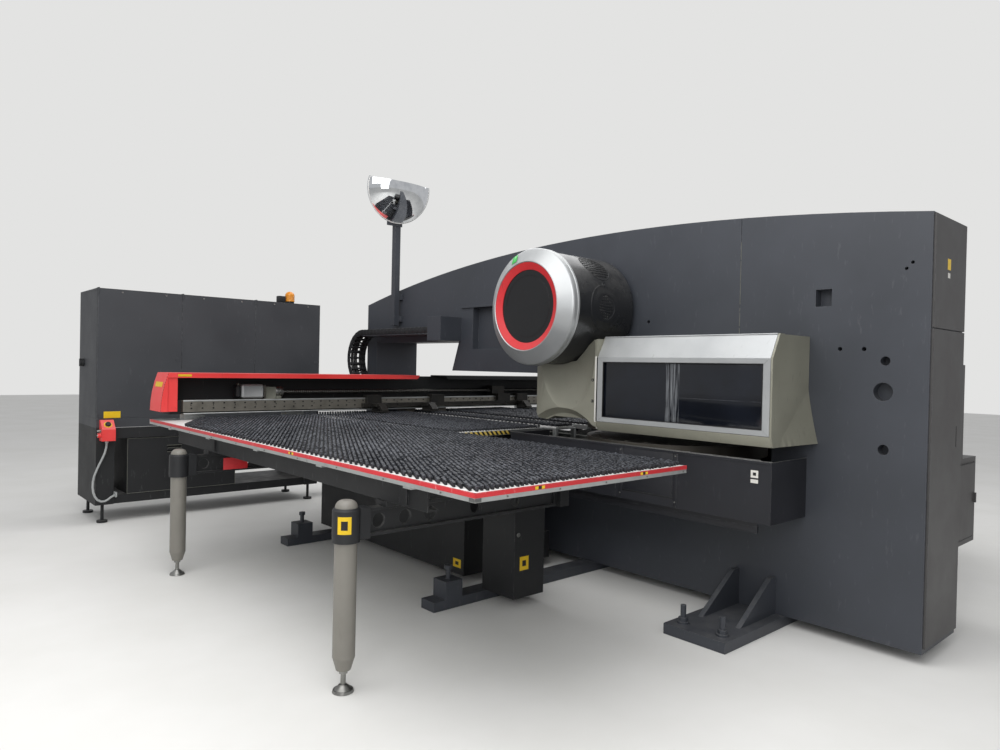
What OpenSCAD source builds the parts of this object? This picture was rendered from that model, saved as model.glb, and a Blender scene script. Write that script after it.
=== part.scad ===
// Servo turret punch press with a closed bridge frame, brush tables and a long carriage beam.
// Millimetres. The origin is on the floor under the ram axis, at the middle of the bridge frame.
// X runs along the carriage beam, Y along the bridge frame away from its near end, Z is up.

/* [Bridge frame] */
// Thickness of the welded frame along X
frame_t = 515; // [440:5:600]
// Ram axis to the near end of the frame
frame_near = 2262; // [2150:10:2600]
// Ram axis to the far end of the frame
frame_far = 3221; // [3150:10:3500]
// Height of the crown of the arched top
crown_z = 2500; // [2400:10:2700]
// Radius of the arched top
crown_r = 15500; // [13000:100:22000]
// Gap between the floor and the underside of the frame
foot_h = 60; // [50:5:90]
// Height of the lower beam, under the throat
sill_z = 900; // [880:5:910]
// Height of the throat ceiling
throat_z = 1459; // [1440:1:1480]
// Height of the ceiling of the far, taller part of the throat
high_z = 1742; // [1700:2:1780]
// Ram axis to the near end of the throat
throat_near = 1420; // [1380:10:1450]
// Ram axis to the far end of the throat
throat_far = 3030; // [3000:10:3060]
// Ram axis to the slanted step in the throat ceiling
step_y = 1720; // [1650:10:1800]

/* [Drum cover] */
// Height of the drum axis
drum_z = 1920; // [1880:5:2000]
// Radius of the charcoal housing
drum_r = 390; // [375:1:394]
// Distance from the middle of the frame to the front of the ring
drum_reach = 988; // [940:4:1010]
// Outer radius of the silver ring
ring_r = 402; // [398:1:420]
// Outer radius of the red inner ring
inner_ring_r = 300; // [280:1:320]
// Radius of the black disc
disc_r = 250; // [230:1:260]

/* [Turret and ram] */
// Radius of the turret discs
turret_r = 625; // [600:5:630]
// Radius of the circle of stations that pass under the ram
track_r = 560; // [550:5:565]
// Thickness of the upper disc
upper_t = 160; // [120:5:165]
// Thickness of the lower disc
lower_t = 95; // [70:5:100]
// Stations on the outer circle
stations = 24; // [16:2:28]
// Radius of the striker
striker_r = 40; // [30:1:50]
// Stroke of the striker
stroke = 37; // [25:1:37]

/* [Turret guard] */
// Front of the guard from the middle of the frame
guard_x = 684; // [670:2:720]
// Near end of the guard from the ram axis
guard_near = 1636; // [1600:2:1660]
// Far end of the guard from the ram axis
guard_far = 400; // [380:2:420]
// Height of the flat top of the guard
guard_top = 1715; // [1690:1:1740]
// Height of the bottom edge of the guard
guard_low = 1092; // [1080:1:1110]
// Thickness of the guard's sheet
guard_wall = 10; // [6:1:14]
// Thickness of the window panes
glass_t = 6; // [4:1:8]

/* [Lower turret box] */
// Front of the lower box from the middle of the frame
box_x = 669; // [655:1:680]
// Far end of the lower box from the ram axis
box_far = 450; // [430:5:470]
// Height of the top rim
box_top = 1010; // [1000:2:1016]
// Height of the bottom
box_low = 670; // [640:5:700]

/* [Tables] */
// Height of the brush tips, where the sheet slides
pass_z = 1045; // [1042:1:1046]
// Height of the top of the table plates
plate_top = 1008; // [1004:1:1012]
// Height of the bottom of the table edge
edge_low = 984; // [978:1:988]
// Height of the top of the table edge
edge_top = 1020; // [1016:1:1024]
// Outer edge of a side table from the middle of the frame
table_out = 2617; // [2560:1:2640]
// Inner edge of a side table from the middle of the frame
table_in = 1220; // [1215:5:1260]
// Near edge of the side tables from the ram axis
table_near = 1465; // [1300:5:1600]
// Width of the aluminium channel around a table
channel_w = 30; // [20:1:40]
// Pitch of the brush rows
brush_pitch = 40; // [36:1:60]

/* [Legs] */
// Leg line from the middle of the frame
leg_x = 2690; // [2680:5:2760]
// Near leg from the ram axis, towards the near end
leg_near = 640; // [500:10:760]
// Far leg from the ram axis, towards the far end
leg_far = 1680; // [1560:10:1800]
// Radius of the leg tubes
leg_r = 52; // [40:1:58]
// Radius of the moulded collars
collar_r = 64; // [62:1:75]
// Height of the bottom of the arms
arm_low = 700; // [680:5:720]
// Height of the top of the arms
arm_top = 832; // [820:2:840]

/* [Carriage] */
// Front face of the carriage beam covers, from the ram axis
beam_front = 2360; // [2340:5:2400]
// Depth of the carriage beam
beam_depth = 280; // [270:5:300]
// Underside of the carriage beam
beam_low = 1066; // [1064:1:1070]
// Height of the top cover
beam_top = 1400; // [1380:1:1410]
// Radius of both ball screws
screw_r = 20; // [16:1:24]
// Travel of the carriage beam towards the turret
y_travel = 1600; // [1200:10:1620]
// Length of the moving clamp carriage
slide_len = 2200; // [2000:10:2300]
// Left end of the clamp carriage at rest, from the middle of the frame
slide_left = 800; // [760:10:840]

/* [Energy chain] */
// Height of one chain link
link_h = 62; // [50:1:70]
// Width of the chain along X
chain_w = 190; // [150:5:195]
// Centre radius of the chain's bend
bend_r = 265; // [240:5:280]

/* [Mirror] */
// Height of the top of the mirror pole
pole_top = 2960; // [2850:10:3050]
// Side of the square pole
pole_w = 60; // [50:2:80]
// Radius of the mirror
mirror_r = 330; // [280:5:360]

/* [Control cabinet] */
// Left side of the cabinet from the middle of the frame
cab_left = 2775; // [2760:5:2800]
// Right side of the cabinet from the middle of the frame
cab_right = 590; // [560:5:620]
// Front of the cabinet from the ram axis
cab_front = 3680; // [3660:5:3740]
// Depth of the cabinet
cab_depth = 700; // [600:10:800]
// Height of the top of the cabinet
cab_top = 2140; // [2080:5:2200]
// Height of the bottom of the doors
cab_low = 873; // [860:1:890]
// Height of the fixed panel under the doors
kick_h = 84; // [82:1:140]
// Thickness of the door leaves
door_t = 22; // [18:1:30]

/* [Hidden] */
$fn = 64;

frame_colour = "#303237";
charcoal = "#3a3b3e";
champagne = "#a39e94";
silver = "#c9c9c6";
signal_red = "#c8282d";
steel = "#8f8f8c";

// Clearance between a turning shaft and its bearing
run_gap = 0.05;
// Clearance between bodies that slide past each other
slide_gap = 1;
// Gap around doors and covers
door_gap = 2;
half_t = frame_t / 2;
eps = 0.5;

// Height of the arched top at a place along the frame
crown_y = -100;
function top_z(y) = crown_z - crown_r + sqrt(crown_r * crown_r - (y - crown_y) * (y - crown_y));

// Extrudes a (Y, Z) outline along X, centred on the mid-plane
module along_x(len) rotate([90, 0, 90]) linear_extrude(len, center = true) children();
// Extrudes an (X, Z) outline along Y, between two places
module along_y(y0, y1) translate([0, y1, 0]) rotate([90, 0, 0]) linear_extrude(y1 - y0) children();
// A block between two corners
module block(low, high) translate(low) cube(high - low);
// A child and its mirror image on the other side of the frame
module both_sides() {
  children();
  mirror([1, 0, 0]) children();
}
// A round bar along X, starting at a point
module bar_x(p, r, len) translate(p) rotate([0, 90, 0]) cylinder(r = r, h = len);
// A round bar along Y, starting at a point
module bar_y(p, r, len) translate(p) rotate([-90, 0, 0]) cylinder(r = r, h = len);

// Bridge frame: arched weldment with a stepped throat, access holes and a side recess
throat_lean = 100;
crown_steps = 26;
seam_y = -1188;
seam_w = 5;
seam_d = 4;
pocket_d = 70;
trough_w = 180;
trough_d = 125;
trough_near = 165;
recess_near = 1010;
recess_far = 1430;
recess_low = 1657;
recess_top = 2030;
// Access holes on the side of the near column: distance from the ram axis, height, radius
access_holes = [[-2040, 1411, 50], [-2048, 1577, 25], [-2048, 1100, 28], [-495, 1838, 12],
  [-1808, 1643, 12], [-1937, 1642, 12], [-2169, 2095, 9], [-2140, 2065, 9]];
square_hole = [[-1755, 1886], [-1664, 1983]];

module frame_outline() {
  polygon(concat(
    [for (i = [0 : crown_steps])
      let (y = -frame_near + i * (frame_near + frame_far) / crown_steps) [y, top_z(y)]],
    [[frame_far, foot_h], [-frame_near, foot_h]]));
}
module throat_outline() {
  polygon([[-throat_near, sill_z], [throat_far, sill_z], [throat_far, high_z],
    [step_y - throat_lean, high_z], [step_y, throat_z], [-throat_near, throat_z]]);
}
module bridge_frame() color(frame_colour) {
  difference() {
    along_x(frame_t) difference() {
      frame_outline();
      throat_outline();
    }
    both_sides() {
      for (h = access_holes)
        bar_x([-half_t - eps, h[0], h[1]], h[2], pocket_d + eps);
      block([-half_t - eps, square_hole[0][0], square_hole[0][1]],
        [-half_t + pocket_d, square_hole[1][0], square_hole[1][1]]);
      block([-half_t - eps, seam_y - seam_w / 2, guard_top + 20],
        [-half_t + seam_d, seam_y + seam_w / 2, crown_z]);
      block([-half_t - eps, recess_near, recess_low], [-half_t + pocket_d, recess_far, recess_top]);
    }
    block([-trough_w / 2, trough_near, sill_z - trough_d], [trough_w / 2, throat_far, sill_z + eps]);
  }
  // Lip over the recess
  both_sides() block([-half_t - 14, recess_near, recess_top], [-half_t, recess_far + 160, recess_top + 16]);
  // Bearing plates of the Y ball screw, across the trough
  for (y = [y_screw_near, y_screw_far])
    difference() {
      block([-trough_w / 2, y, sill_z - trough_d], [trough_w / 2, y + bearing_t, sill_z]);
      bar_y([0, y - eps, y_screw_z], screw_r + run_gap, bearing_t + 2 * eps);
    }
}

// End cover: two plates on the near end, the lower one with a narrow slot
end_t = 12;
end_inset = 8;
end_seam_z = 1749;
end_slot = [155, 1112, 1229];
slot_w = 14;
module end_cover() color("#2b2d31") {
  difference() {
    block([-half_t + end_inset, -frame_near - end_t, foot_h + 30],
      [half_t - end_inset, -frame_near, end_seam_z - 3]);
    block([end_slot[0] - slot_w / 2, -frame_near - end_t - eps, end_slot[1]],
      [end_slot[0] + slot_w / 2, -frame_near + eps, end_slot[2]]);
  }
  block([-half_t + end_inset, -frame_near - end_t, end_seam_z + 3],
    [half_t - end_inset, -frame_near, top_z(-frame_near) - end_inset]);
}

// Floor feet: cross beams under the frame and the base boxes, and wide plates with gussets
beam_w = 130;
beam_x = 1750;
plate_x = 920;
plate_near = [-1530, -1140];
plate_far = [2500, 2890];
cross_y = [0, 2000];
bolt_r = 16;
module levelling_bolt(x, y) {
  translate([x, y, foot_h]) cylinder(r = bolt_r * 2.2, h = 12);
  translate([x, y, foot_h + 12]) cylinder(r = bolt_r * 1.7, h = 22, $fn = 6);
  translate([x, y, foot_h + 34]) cylinder(r = bolt_r, h = 70);
}
module foot_plate(y0, y1) {
  block([-plate_x, y0, 0], [plate_x, y1, foot_h]);
  both_sides() {
    for (y = [y0 + 60, y1 - 90])
      along_y(y, y + 30) polygon([[-half_t, foot_h], [-half_t, foot_h + 220], [-half_t - 60, foot_h + 220],
        [-plate_x + 260, foot_h]]);
    for (y = [y0 + 70, y1 - 70])
      levelling_bolt(-plate_x + 90, y);
  }
}
module frame_feet() color("#26272a") {
  for (y = cross_y) {
    block([-beam_x, y - beam_w / 2, 0], [beam_x, y + beam_w / 2, foot_h]);
    both_sides() {
      block([-beam_x + 90, y - beam_w / 2, foot_h], [-beam_x + 220, y + beam_w / 2, foot_h + 110]);
      translate([-beam_x + 155, y, foot_h + 110]) cylinder(r = bolt_r, h = 60);
      translate([-beam_x + 155, y, foot_h + 170]) cylinder(r = bolt_r * 1.7, h = 24, $fn = 6);
    }
  }
  foot_plate(plate_near[0], plate_near[1]);
  foot_plate(plate_far[0], plate_far[1]);
}

// Base boxes under the centre table, with the rail that carries the arms
ped_out = 1260;
ped_in = 420;
ped_near = 260;
ped_far = 2300;
ped_top = 840;
tie_w = 70;
post_y = -320;
module pedestals() color("#242529") both_sides() {
  difference() {
    block([-ped_out, ped_near, foot_h], [-ped_in, ped_far, ped_top]);
    // Open inner side, as the folded covers are
    block([-ped_out + 12, box_far + 22, foot_h + 12], [-ped_in + eps, ped_far - 12, ped_top - 12]);
    // Corner left free for the lower turret box
    block([-box_x - 12, ped_near - eps, foot_h + 200], [-ped_in + eps, box_far + 10, ped_top + eps]);
  }
  block([-ped_out - tie_w, -leg_near - 60, arm_low], [-ped_out, leg_far + 60, arm_top]);
  // Front post with a cover plate
  block([-ped_out - tie_w, post_y, foot_h], [-ped_out + 190, post_y + 300, arm_low]);
  // Brackets from the base box up to the centre table
  for (y = [ped_near + 300, ped_far - 80])
    block([-ped_out + 100, y, ped_top], [-ped_in - 40, y + 60, plate_top - plate_t]);
}

// Drum cover over the ram drive: revolved housing with an oval louvre and a round grille
drum_wall = 12;
drum_round = 60;
ring_depth = 120;
drum_back = drum_reach - ring_depth;
motor_r = 190;
vent_place = [575, 42];
vent_size = [105, 116];
vent_pitch = 24;
grille_place = [590, 90];
grille_r = 72;
grille_pitch = 20;
module on_drum() translate([0, 0, drum_z]) rotate([0, -90, 0]) children();
// A place on the drum's wall: distance along the axis and degrees down from the top, near side
module on_drum_wall(place) translate([-place[0], 0, drum_z]) rotate([place[1], 0, 0]) translate([0, 0, drum_r]) children();
module drum_body(r, from, to) rotate_extrude($fn = 120) {
  square_len = to - from;
  translate([0, from]) square([r - drum_round, square_len]);
  translate([0, from + drum_round]) square([r, square_len - drum_round]);
  intersection() {
    translate([r - drum_round, from + drum_round]) circle(drum_round);
    translate([0, from]) square([r, square_len]);
  }
}
module drum_housing() color(charcoal) difference() {
  on_drum() difference() {
    drum_body(drum_r, half_t, drum_back);
    drum_body(drum_r - drum_wall, half_t + drum_wall, drum_back + eps);
    // The motor passes the end wall
    translate([0, 0, half_t - eps]) cylinder(r = motor_r + 6, h = drum_wall + 2 * eps);
  }
  // Oval louvre on the upper near side
  on_drum_wall(vent_place)
    for (i = [-floor(vent_size[1] / vent_pitch) : floor(vent_size[1] / vent_pitch)])
      translate([0, i * vent_pitch, 0]) cube([2 * vent_len(i * vent_pitch / vent_size[1]), 10, 4 * drum_wall], center = true);
  // Round mesh grille lower on the near side
  on_drum_wall(grille_place)
    for (i = [-3 : 3], j = [-3 : 3])
      if (norm([i, j]) * grille_pitch < grille_r - 6)
        translate([i * grille_pitch, j * grille_pitch, -2 * drum_wall]) cylinder(r = 6, h = 4 * drum_wall, $fn = 16);
}
function vent_len(t) = vent_size[0] * sqrt(max(0.08, 1 - t * t));

// Silver ring: its face leans back from the inner edge, and the rim has two ridges
ring_lean = 58;
ring_bevel = 12;
module drum_ring() color(silver) on_drum() rotate_extrude($fn = 120)
  polygon([[inner_ring_r, drum_back], [ring_r, drum_back], [ring_r, drum_back + 14],
    [ring_r - 5, drum_back + 17], [ring_r - 5, drum_back + 25], [ring_r, drum_back + 28],
    [ring_r, drum_reach - ring_lean - ring_bevel], [ring_r - 4, drum_reach - ring_lean - 4],
    [ring_r - ring_bevel, drum_reach - ring_lean + 2], [inner_ring_r + 8, drum_reach - 1],
    [inner_ring_r + 4, drum_reach], [inner_ring_r, drum_reach - 4]]);
// Red cone inside the ring, with a seat for the disc
disc_back = 27;
disc_t = 8;
disc_seat = drum_reach - disc_back - disc_t - 4;
module drum_inner_ring() color(signal_red) on_drum() rotate_extrude($fn = 120)
  polygon([[disc_r - 16, disc_seat - 10], [inner_ring_r, disc_seat - 10], [inner_ring_r, drum_reach - 6],
    [inner_ring_r - 4, drum_reach - 6], [disc_r, drum_reach - disc_back], [disc_r, disc_seat],
    [disc_r - 16, disc_seat]]);
module drum_disc() color("#141416") on_drum() rotate_extrude($fn = 120) difference() {
  translate([0, disc_seat]) square([disc_r, disc_t]);
  translate([disc_r - 40, disc_seat + disc_t - 1.5]) square([3, 2]);
}

// Moulded cover under the drum, with a scooped front and an arch over the sheet
shroud_far = 168;
shroud_wall = 12;
// Heights of the cover's top from its far end to the guard
shroud_high = [drum_z - 406, drum_z - 375, drum_z - 355, guard_top - 15];
module shroud_outline() {
  polygon([[-guard_far, guard_low + 3], [-guard_far + 60, guard_low + 30], [-240, 1160],
    [20, 1160], [90, 1130], [shroud_far - 16, 1140], [shroud_far, 1180], [shroud_far, shroud_high[0]],
    [-120, shroud_high[1]], [-175, shroud_high[2]], [-guard_far, shroud_high[3]]]);
}
// Concave sweep across the front, and the arch: distance from the ram axis, height, radius
sweep_r = 285;
sweep_d = 55;
arch = [-75, 1119, 125];
sweep_at = [-guard_far + 110, guard_low + 383];
module sweep(r) translate([-guard_x - sweep_r + sweep_d, sweep_at[0], sweep_at[1]]) rotate([32, 0, 0])
  cylinder(r = r, h = 900, center = true, $fn = 96);
module ram_shroud() color(champagne) difference() {
  translate([-(guard_x + half_t) / 2, 0, 0]) along_x(guard_x - half_t) shroud_outline();
  // Hollow inside, clear of the turret, following the sweep
  difference() {
    translate([-(guard_x + half_t) / 2 + shroud_wall, 0, 0]) along_x(guard_x - half_t + eps)
      polygon([[-guard_far - eps, guard_low - eps], [80, guard_low - eps], [shroud_far - shroud_wall, 1200],
        [shroud_far - shroud_wall, shroud_high[0] - shroud_wall - 2], [-130, shroud_high[1] - shroud_wall - 3],
        [-guard_far - eps, shroud_high[3] - shroud_wall - 6]]);
    sweep(sweep_r + shroud_wall);
  }
  // Drum seats in the top
  on_drum() cylinder(r = drum_r + 1, h = drum_reach, $fn = 120);
  sweep(sweep_r);
  // Arch over the sheet
  bar_x([-guard_x - 30, arch[0], arch[1]], arch[2], 30 + shroud_wall + 1);
}

// Turret guard: fixed housing with the bent end panel, and a front door that lifts
slope_x = 610;
slope_z = 1580;
front_low = 1153;
window = [[-guard_near + 56, front_low + 31], [-guard_far - 50, slope_z - 30]];
lip_x = turret_r + 8;
module guard_outline() {
  polygon([[-half_t, guard_low], [-guard_x + 23, guard_low], [-guard_x, front_low],
    [-guard_x, slope_z], [-slope_x, guard_top], [-half_t, guard_top]]);
}
// Sheet outline, open at the bottom for the turret but for a narrow lip
module guard_band(y0, y1) along_y(y0, y1) difference() {
  guard_outline();
  polygon([[-half_t + eps, guard_low - eps], [-lip_x, guard_low - eps], [-lip_x, guard_low + 4],
    [-guard_x + 23 + guard_wall / 2, guard_low + 4], [-guard_x + guard_wall, front_low],
    [-guard_x + guard_wall, slope_z - 4], [-slope_x + 2, guard_top - guard_wall],
    [-half_t + eps, guard_top - guard_wall]]);
}
module guard_end(y) along_y(y, y + guard_wall) guard_outline();
door_near = -guard_near + 14;
door_far = -guard_far - 6;
barrel_hinge_r = 5;
module guard_door_zone(grow) translate([-guard_x - 20, door_near - grow, front_low - grow])
  cube([guard_x - slope_x + 20 + grow, door_far - door_near + 2 * grow, guard_top - front_low + 30]);
module guard_housing() color(champagne) {
  difference() {
    guard_band(-guard_near, -guard_far);
    guard_door_zone(door_gap);
    bar_y([-slope_x, door_near - door_gap, guard_top], barrel_hinge_r + slide_gap, door_far - door_near + 2 * door_gap);
  }
  guard_end(-guard_near);
  // Lower corner of the end panel, bent out by a knock
  hull() {
    block([-half_t - 300, -guard_near - 0.5, 1200], [-half_t, -guard_near, 1206]);
    block([-half_t - 230, -guard_near - 26, guard_low - 6], [-half_t - 120, -guard_near, guard_low]);
    block([-half_t - 8, -guard_near - 62, guard_low + 14], [-half_t, -guard_near, guard_low + 20]);
  }
  // Top hinge strip
  block([-slope_x + barrel_hinge_r + slide_gap, -guard_near, guard_top], [-slope_x + 60, -guard_far, guard_top + 4]);
}
module guard_door() color(silver) difference() {
  union() {
    intersection() {
      guard_band(-guard_near, -guard_far);
      guard_door_zone(0);
    }
    // Hinge barrel along the top edge
    bar_y([-slope_x, door_near, guard_top], barrel_hinge_r, door_far - door_near);
  }
  block([-guard_x - 20, window[0][0], window[0][1]], [-guard_x + guard_wall + 2, window[1][0], window[1][1]]);
}
// Two panes behind the window, lapped in the middle
pane_edge = 18;
lap = 40;
module guard_glass() color("#12151c") {
  mid = (window[0][0] + window[1][0]) / 2;
  x0 = -guard_x + guard_wall;
  block([x0, window[0][0] - pane_edge, window[0][1] - pane_edge],
    [x0 + glass_t, mid + lap, window[1][1] + pane_edge]);
  block([x0 + glass_t, mid - lap, window[0][1] - pane_edge],
    [x0 + 2 * glass_t, window[1][0] + pane_edge, window[1][1] + pane_edge]);
}
// Plain guard on the far side, without a window
module guard_right() color("#33353a") mirror([1, 0, 0]) {
  guard_band(-guard_near, shroud_far);
  guard_end(-guard_near);
  guard_end(shroud_far - guard_wall);
}

// Lower turret box: open tray around the lower disc, with panel seams and two bright edge strips
box_wall = 10;
panel_seams = [-1030, -567];
module lower_box() {
  difference() {
    block([-box_x, -guard_near, box_low], [-half_t, box_far, box_top]);
    block([-box_x + box_wall, -guard_near + box_wall, box_low + box_wall],
      [-half_t + eps, box_far - box_wall, box_top + eps]);
    for (y = panel_seams)
      block([-box_x - eps, y - 2, box_low - eps], [-box_x + 3, y + 2, box_top - 24]);
  }
  block([-box_x - 4, -guard_near, box_top - 10], [-box_x, box_far, box_top + 4]);
  block([-box_x, -guard_near, box_top], [-box_x + box_wall, box_far, box_top + 4]);
}
module lower_box_left() color("#23252b") lower_box();
module lower_box_right() color("#23252b") mirror([1, 0, 0]) lower_box();

// Service cabinets on the far side, at the near end of the frame
svc_far = -guard_near - 24;
svc_near = svc_far - 540;
svc_split = box_top + 2;
svc_low = svc_split - 522;
svc_high = svc_split + 560;
svc_in = 300;
svc_out = 560;
module service_cabinet() color("#3b3e42") {
  block([half_t, svc_near, svc_split], [half_t + svc_in, svc_far - 30, svc_high]);
  difference() {
    block([half_t, svc_near, svc_low], [half_t + svc_out, svc_far, svc_split]);
    block([half_t + 30, svc_near - eps, svc_low + 28], [half_t + svc_out - 30, svc_near + 3, svc_split - 28]);
  }
  // Door leaf with a grip
  block([half_t + 40, svc_near - 8, svc_low + 38], [half_t + svc_out - 40, svc_near + 3, svc_split - 38]);
  block([half_t + svc_out - 60, svc_near - 22, svc_split - 280], [half_t + svc_out - 48, svc_near - 8, svc_split - 220]);
}

// Ram drive: motor inside the drum, and the guide barrel that hangs from the throat ceiling
barrel_r = 90;
barrel_low = 1300;
module ram_drive() color("#55585c") {
  bar_x([-drum_back + 60, 0, drum_z], motor_r, drum_back - 60 - half_t);
  difference() {
    union() {
      translate([0, 0, barrel_low]) cylinder(r = barrel_r, h = throat_z - barrel_low);
      translate([0, 0, throat_z - 24]) cylinder(r = 150, h = 24);
      for (a = [30 : 60 : 330])
        rotate([0, 0, a]) translate([125, 0, throat_z - 36]) cylinder(r = 11, h = 12, $fn = 6);
    }
    translate([0, 0, barrel_low - eps]) cylinder(r = striker_r + run_gap, h = throat_z - barrel_low - 8 + eps);
  }
}
module striker() color("#9a9a98") {
  translate([0, 0, barrel_low - 6]) cylinder(r = striker_r, h = throat_z - barrel_low - 8 - slide_gap + 6);
}

// Turret: two discs with stations on two circles, on spindles under and over the pass line
turret_y = -track_r;
spindle_r = 60;
upper_low = 1085;
lower_low = pass_z - 15 - lower_t;
inner_track = 430;
module at_turret() translate([0, turret_y, 0]) children();
function station_r(i) = 18 + 9 * ((i * 5) % 4);
module turret_upper() color("#6d6e70") at_turret() {
  difference() {
    union() {
      translate([0, 0, upper_low]) cylinder(r = turret_r, h = upper_t - 30, $fn = 120);
      translate([0, 0, upper_low + upper_t - 30]) cylinder(r = turret_r - 26, h = 30, $fn = 120);
    }
    for (i = [0 : stations - 1])
      rotate([0, 0, 90 + i * 360 / stations]) {
        translate([track_r, 0, upper_low - eps]) cylinder(r = station_r(i), h = upper_t + 2 * eps, $fn = 32);
        if (i % 2 == 0)
          translate([inner_track, 0, upper_low - eps]) cylinder(r = 16, h = upper_t + 2 * eps, $fn = 32);
      }
    translate([0, 0, upper_low - eps]) cylinder(r = spindle_r + run_gap, h = upper_t + 2 * eps);
    translate([0, 0, upper_low + upper_t - 22]) rotate_extrude()
      translate([120, 0]) square([210, 30]);
  }
}
module turret_lower() color("#77787a") at_turret() difference() {
  translate([0, 0, lower_low]) cylinder(r = turret_r, h = lower_t, $fn = 120);
  for (i = [0 : stations - 1])
    rotate([0, 0, 90 + i * 360 / stations]) {
      translate([track_r, 0, lower_low - eps]) cylinder(r = station_r(i) * 0.7, h = lower_t + 2 * eps, $fn = 32);
      if (i % 2 == 0)
        translate([inner_track, 0, lower_low - eps]) cylinder(r = 12, h = lower_t + 2 * eps, $fn = 32);
    }
  translate([0, 0, lower_low - eps]) cylinder(r = spindle_r + run_gap, h = lower_t + 2 * eps);
}
module turret_spindles() color("#606266") at_turret() {
  translate([0, 0, upper_low - 16]) cylinder(r = 85, h = 15);
  translate([0, 0, upper_low - 2]) cylinder(r = spindle_r, h = throat_z - upper_low + 2);
  translate([0, 0, upper_low + upper_t + 4]) cylinder(r = 100, h = throat_z - upper_low - upper_t - 4);
  translate([0, 0, sill_z]) cylinder(r = spindle_r, h = lower_low + lower_t - sill_z);
  translate([0, 0, sill_z]) cylinder(r = 100, h = lower_low - 4 - sill_z);
}

// Fixed centre table: a plate each side of the frame and a strip through the throat
centre_near = 500;
centre_far = 2640;
centre_out = 1200;
strip_w = 240;
// Rows of bristles, drawn as ridges on one backing
module ridge_field(x0, x1, y0, y1) {
  count = floor((y1 - y0) / brush_pitch);
  valley = plate_top + 14;
  translate([x0, 0, 0]) rotate([90, 0, 90]) linear_extrude(x1 - x0)
    polygon(concat([[y0, plate_top]],
      [for (i = [0 : count - 1], k = [0 : 3])
        let (y = y0 + i * brush_pitch) [[y, pass_z], [y + brush_pitch * 0.6, pass_z],
          [y + brush_pitch * 0.7, valley], [y + brush_pitch * 0.95, valley]][k]],
      [[y0 + count * brush_pitch, plate_top]]));
}
plate_t = 6;
module table_plate(x0, x1, y0, y1) {
  difference() {
    block([x0, y0, edge_low], [x1, y1, edge_top]);
    block([x0 + channel_w * 0.4, y0 + channel_w * 0.4, plate_top], [x1 - channel_w * 0.4, y1 - channel_w * 0.4, edge_top + eps]);
    block([x0 + channel_w, y0 + channel_w, edge_low - eps], [x1 - channel_w, y1 - channel_w, plate_top - plate_t]);
  }
}
module centre_table() color("#b9bcbc") {
  both_sides() table_plate(-centre_out, -half_t - 4, centre_near, centre_far);
  block([-strip_w / 2, centre_near, plate_top - 10], [strip_w / 2, centre_far + 260, plate_top]);
  for (y = [centre_near, centre_far + 220])
    both_sides() block([-strip_w / 2, y, sill_z], [-strip_w / 2 + 24, y + 40, plate_top - 10]);
}
brush_inset = 34;
module centre_brushes() color("#1c1d20") {
  both_sides() ridge_field(-centre_out + brush_inset, -half_t - 4 - brush_inset,
    centre_near + brush_inset, centre_far - brush_inset);
  ridge_field(-strip_w / 2 + 10, strip_w / 2 - 10, centre_near + 10, centre_far - brush_inset);
}

// Side tables: folded plate inside an aluminium channel, hung from the carriage beam
table_far = beam_front + beam_depth;
rib_low = edge_low - 18;
module side_table() {
  table_plate(-table_out, -table_in, -table_near, table_far);
  // Hangers up to the beam, and cross ribs under the plate
  for (x = [-table_out + 220, -table_in - 300])
    block([x, beam_front + 120, plate_top], [x + 160, table_far - 40, beam_low]);
  for (y = [-1000, -200, 600, 1400, 2200])
    block([-table_out + channel_w, y, rib_low], [-table_in - channel_w, y + 60, plate_top - plate_t]);
}
module side_table_left() color("#b9bcbc") side_table();
module side_table_right() color("#b9bcbc") mirror([1, 0, 0]) side_table();
module side_brushes() color("#1c1d20") both_sides()
  ridge_field(-table_out + brush_inset, -table_in - brush_inset, -table_near + brush_inset, beam_front + 60);

// Slide beams under the side tables, each a channel with an open end
rail_x = 2500;
rail_w = 60;
rail_low = 858;
rail_near = -1005;
rail_far = 2300;
module table_rails() color("#4a4c4e") both_sides() {
  for (x = [-rail_x, -table_in - 260]) {
    difference() {
      block([x, rail_near, rail_low], [x + rail_w, rail_far, rib_low]);
      block([x + 8, rail_near - eps, rail_low + 8], [x + rail_w + eps, rail_far + eps, rib_low - 8]);
    }
    for (y = [-860, 1500])
      block([x - 12, y, rail_low + 10], [x, y + 60, rib_low - 4]);
  }
}

// Arms from the base boxes out to the legs, with round lightening holes
hole_r = 35;
arm_t = 50;
guide_h = rail_low - slide_gap - arm_top;
module arm(y) {
  x_in = -ped_out - tie_w;
  x_out = -leg_x + collar_r - 4;
  difference() {
    translate([0, y - arm_t / 2, 0]) along_y(0, arm_t)
      polygon([[x_in, arm_low], [x_in, arm_top], [x_out, arm_top], [x_out, arm_low]]);
    for (x = [-leg_x + 168, -leg_x + 318, -leg_x + 468, -leg_x + 760, -leg_x + 1050])
      bar_y([x, y - arm_t / 2 - eps, (arm_low + arm_top) / 2], hole_r, arm_t + 2 * eps);
    for (s = [-1, 1])
      block([-leg_x + 110, y + s * (arm_t / 2) - (s > 0 ? 17 : 0), arm_low + 14],
        [x_in - 20, y + s * (arm_t / 2) + (s > 0 ? 0 : 17), arm_top - 14]);
  }
  // Guide blocks under the slide beams
  for (x = [-rail_x, -table_in - 260])
    block([x - 6, y - 45, arm_top], [x + rail_w + 6, y + 45, arm_top + guide_h]);
}
module support_arms() color("#222326") both_sides() {
  arm(-leg_near);
  arm(leg_far);
}
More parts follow.
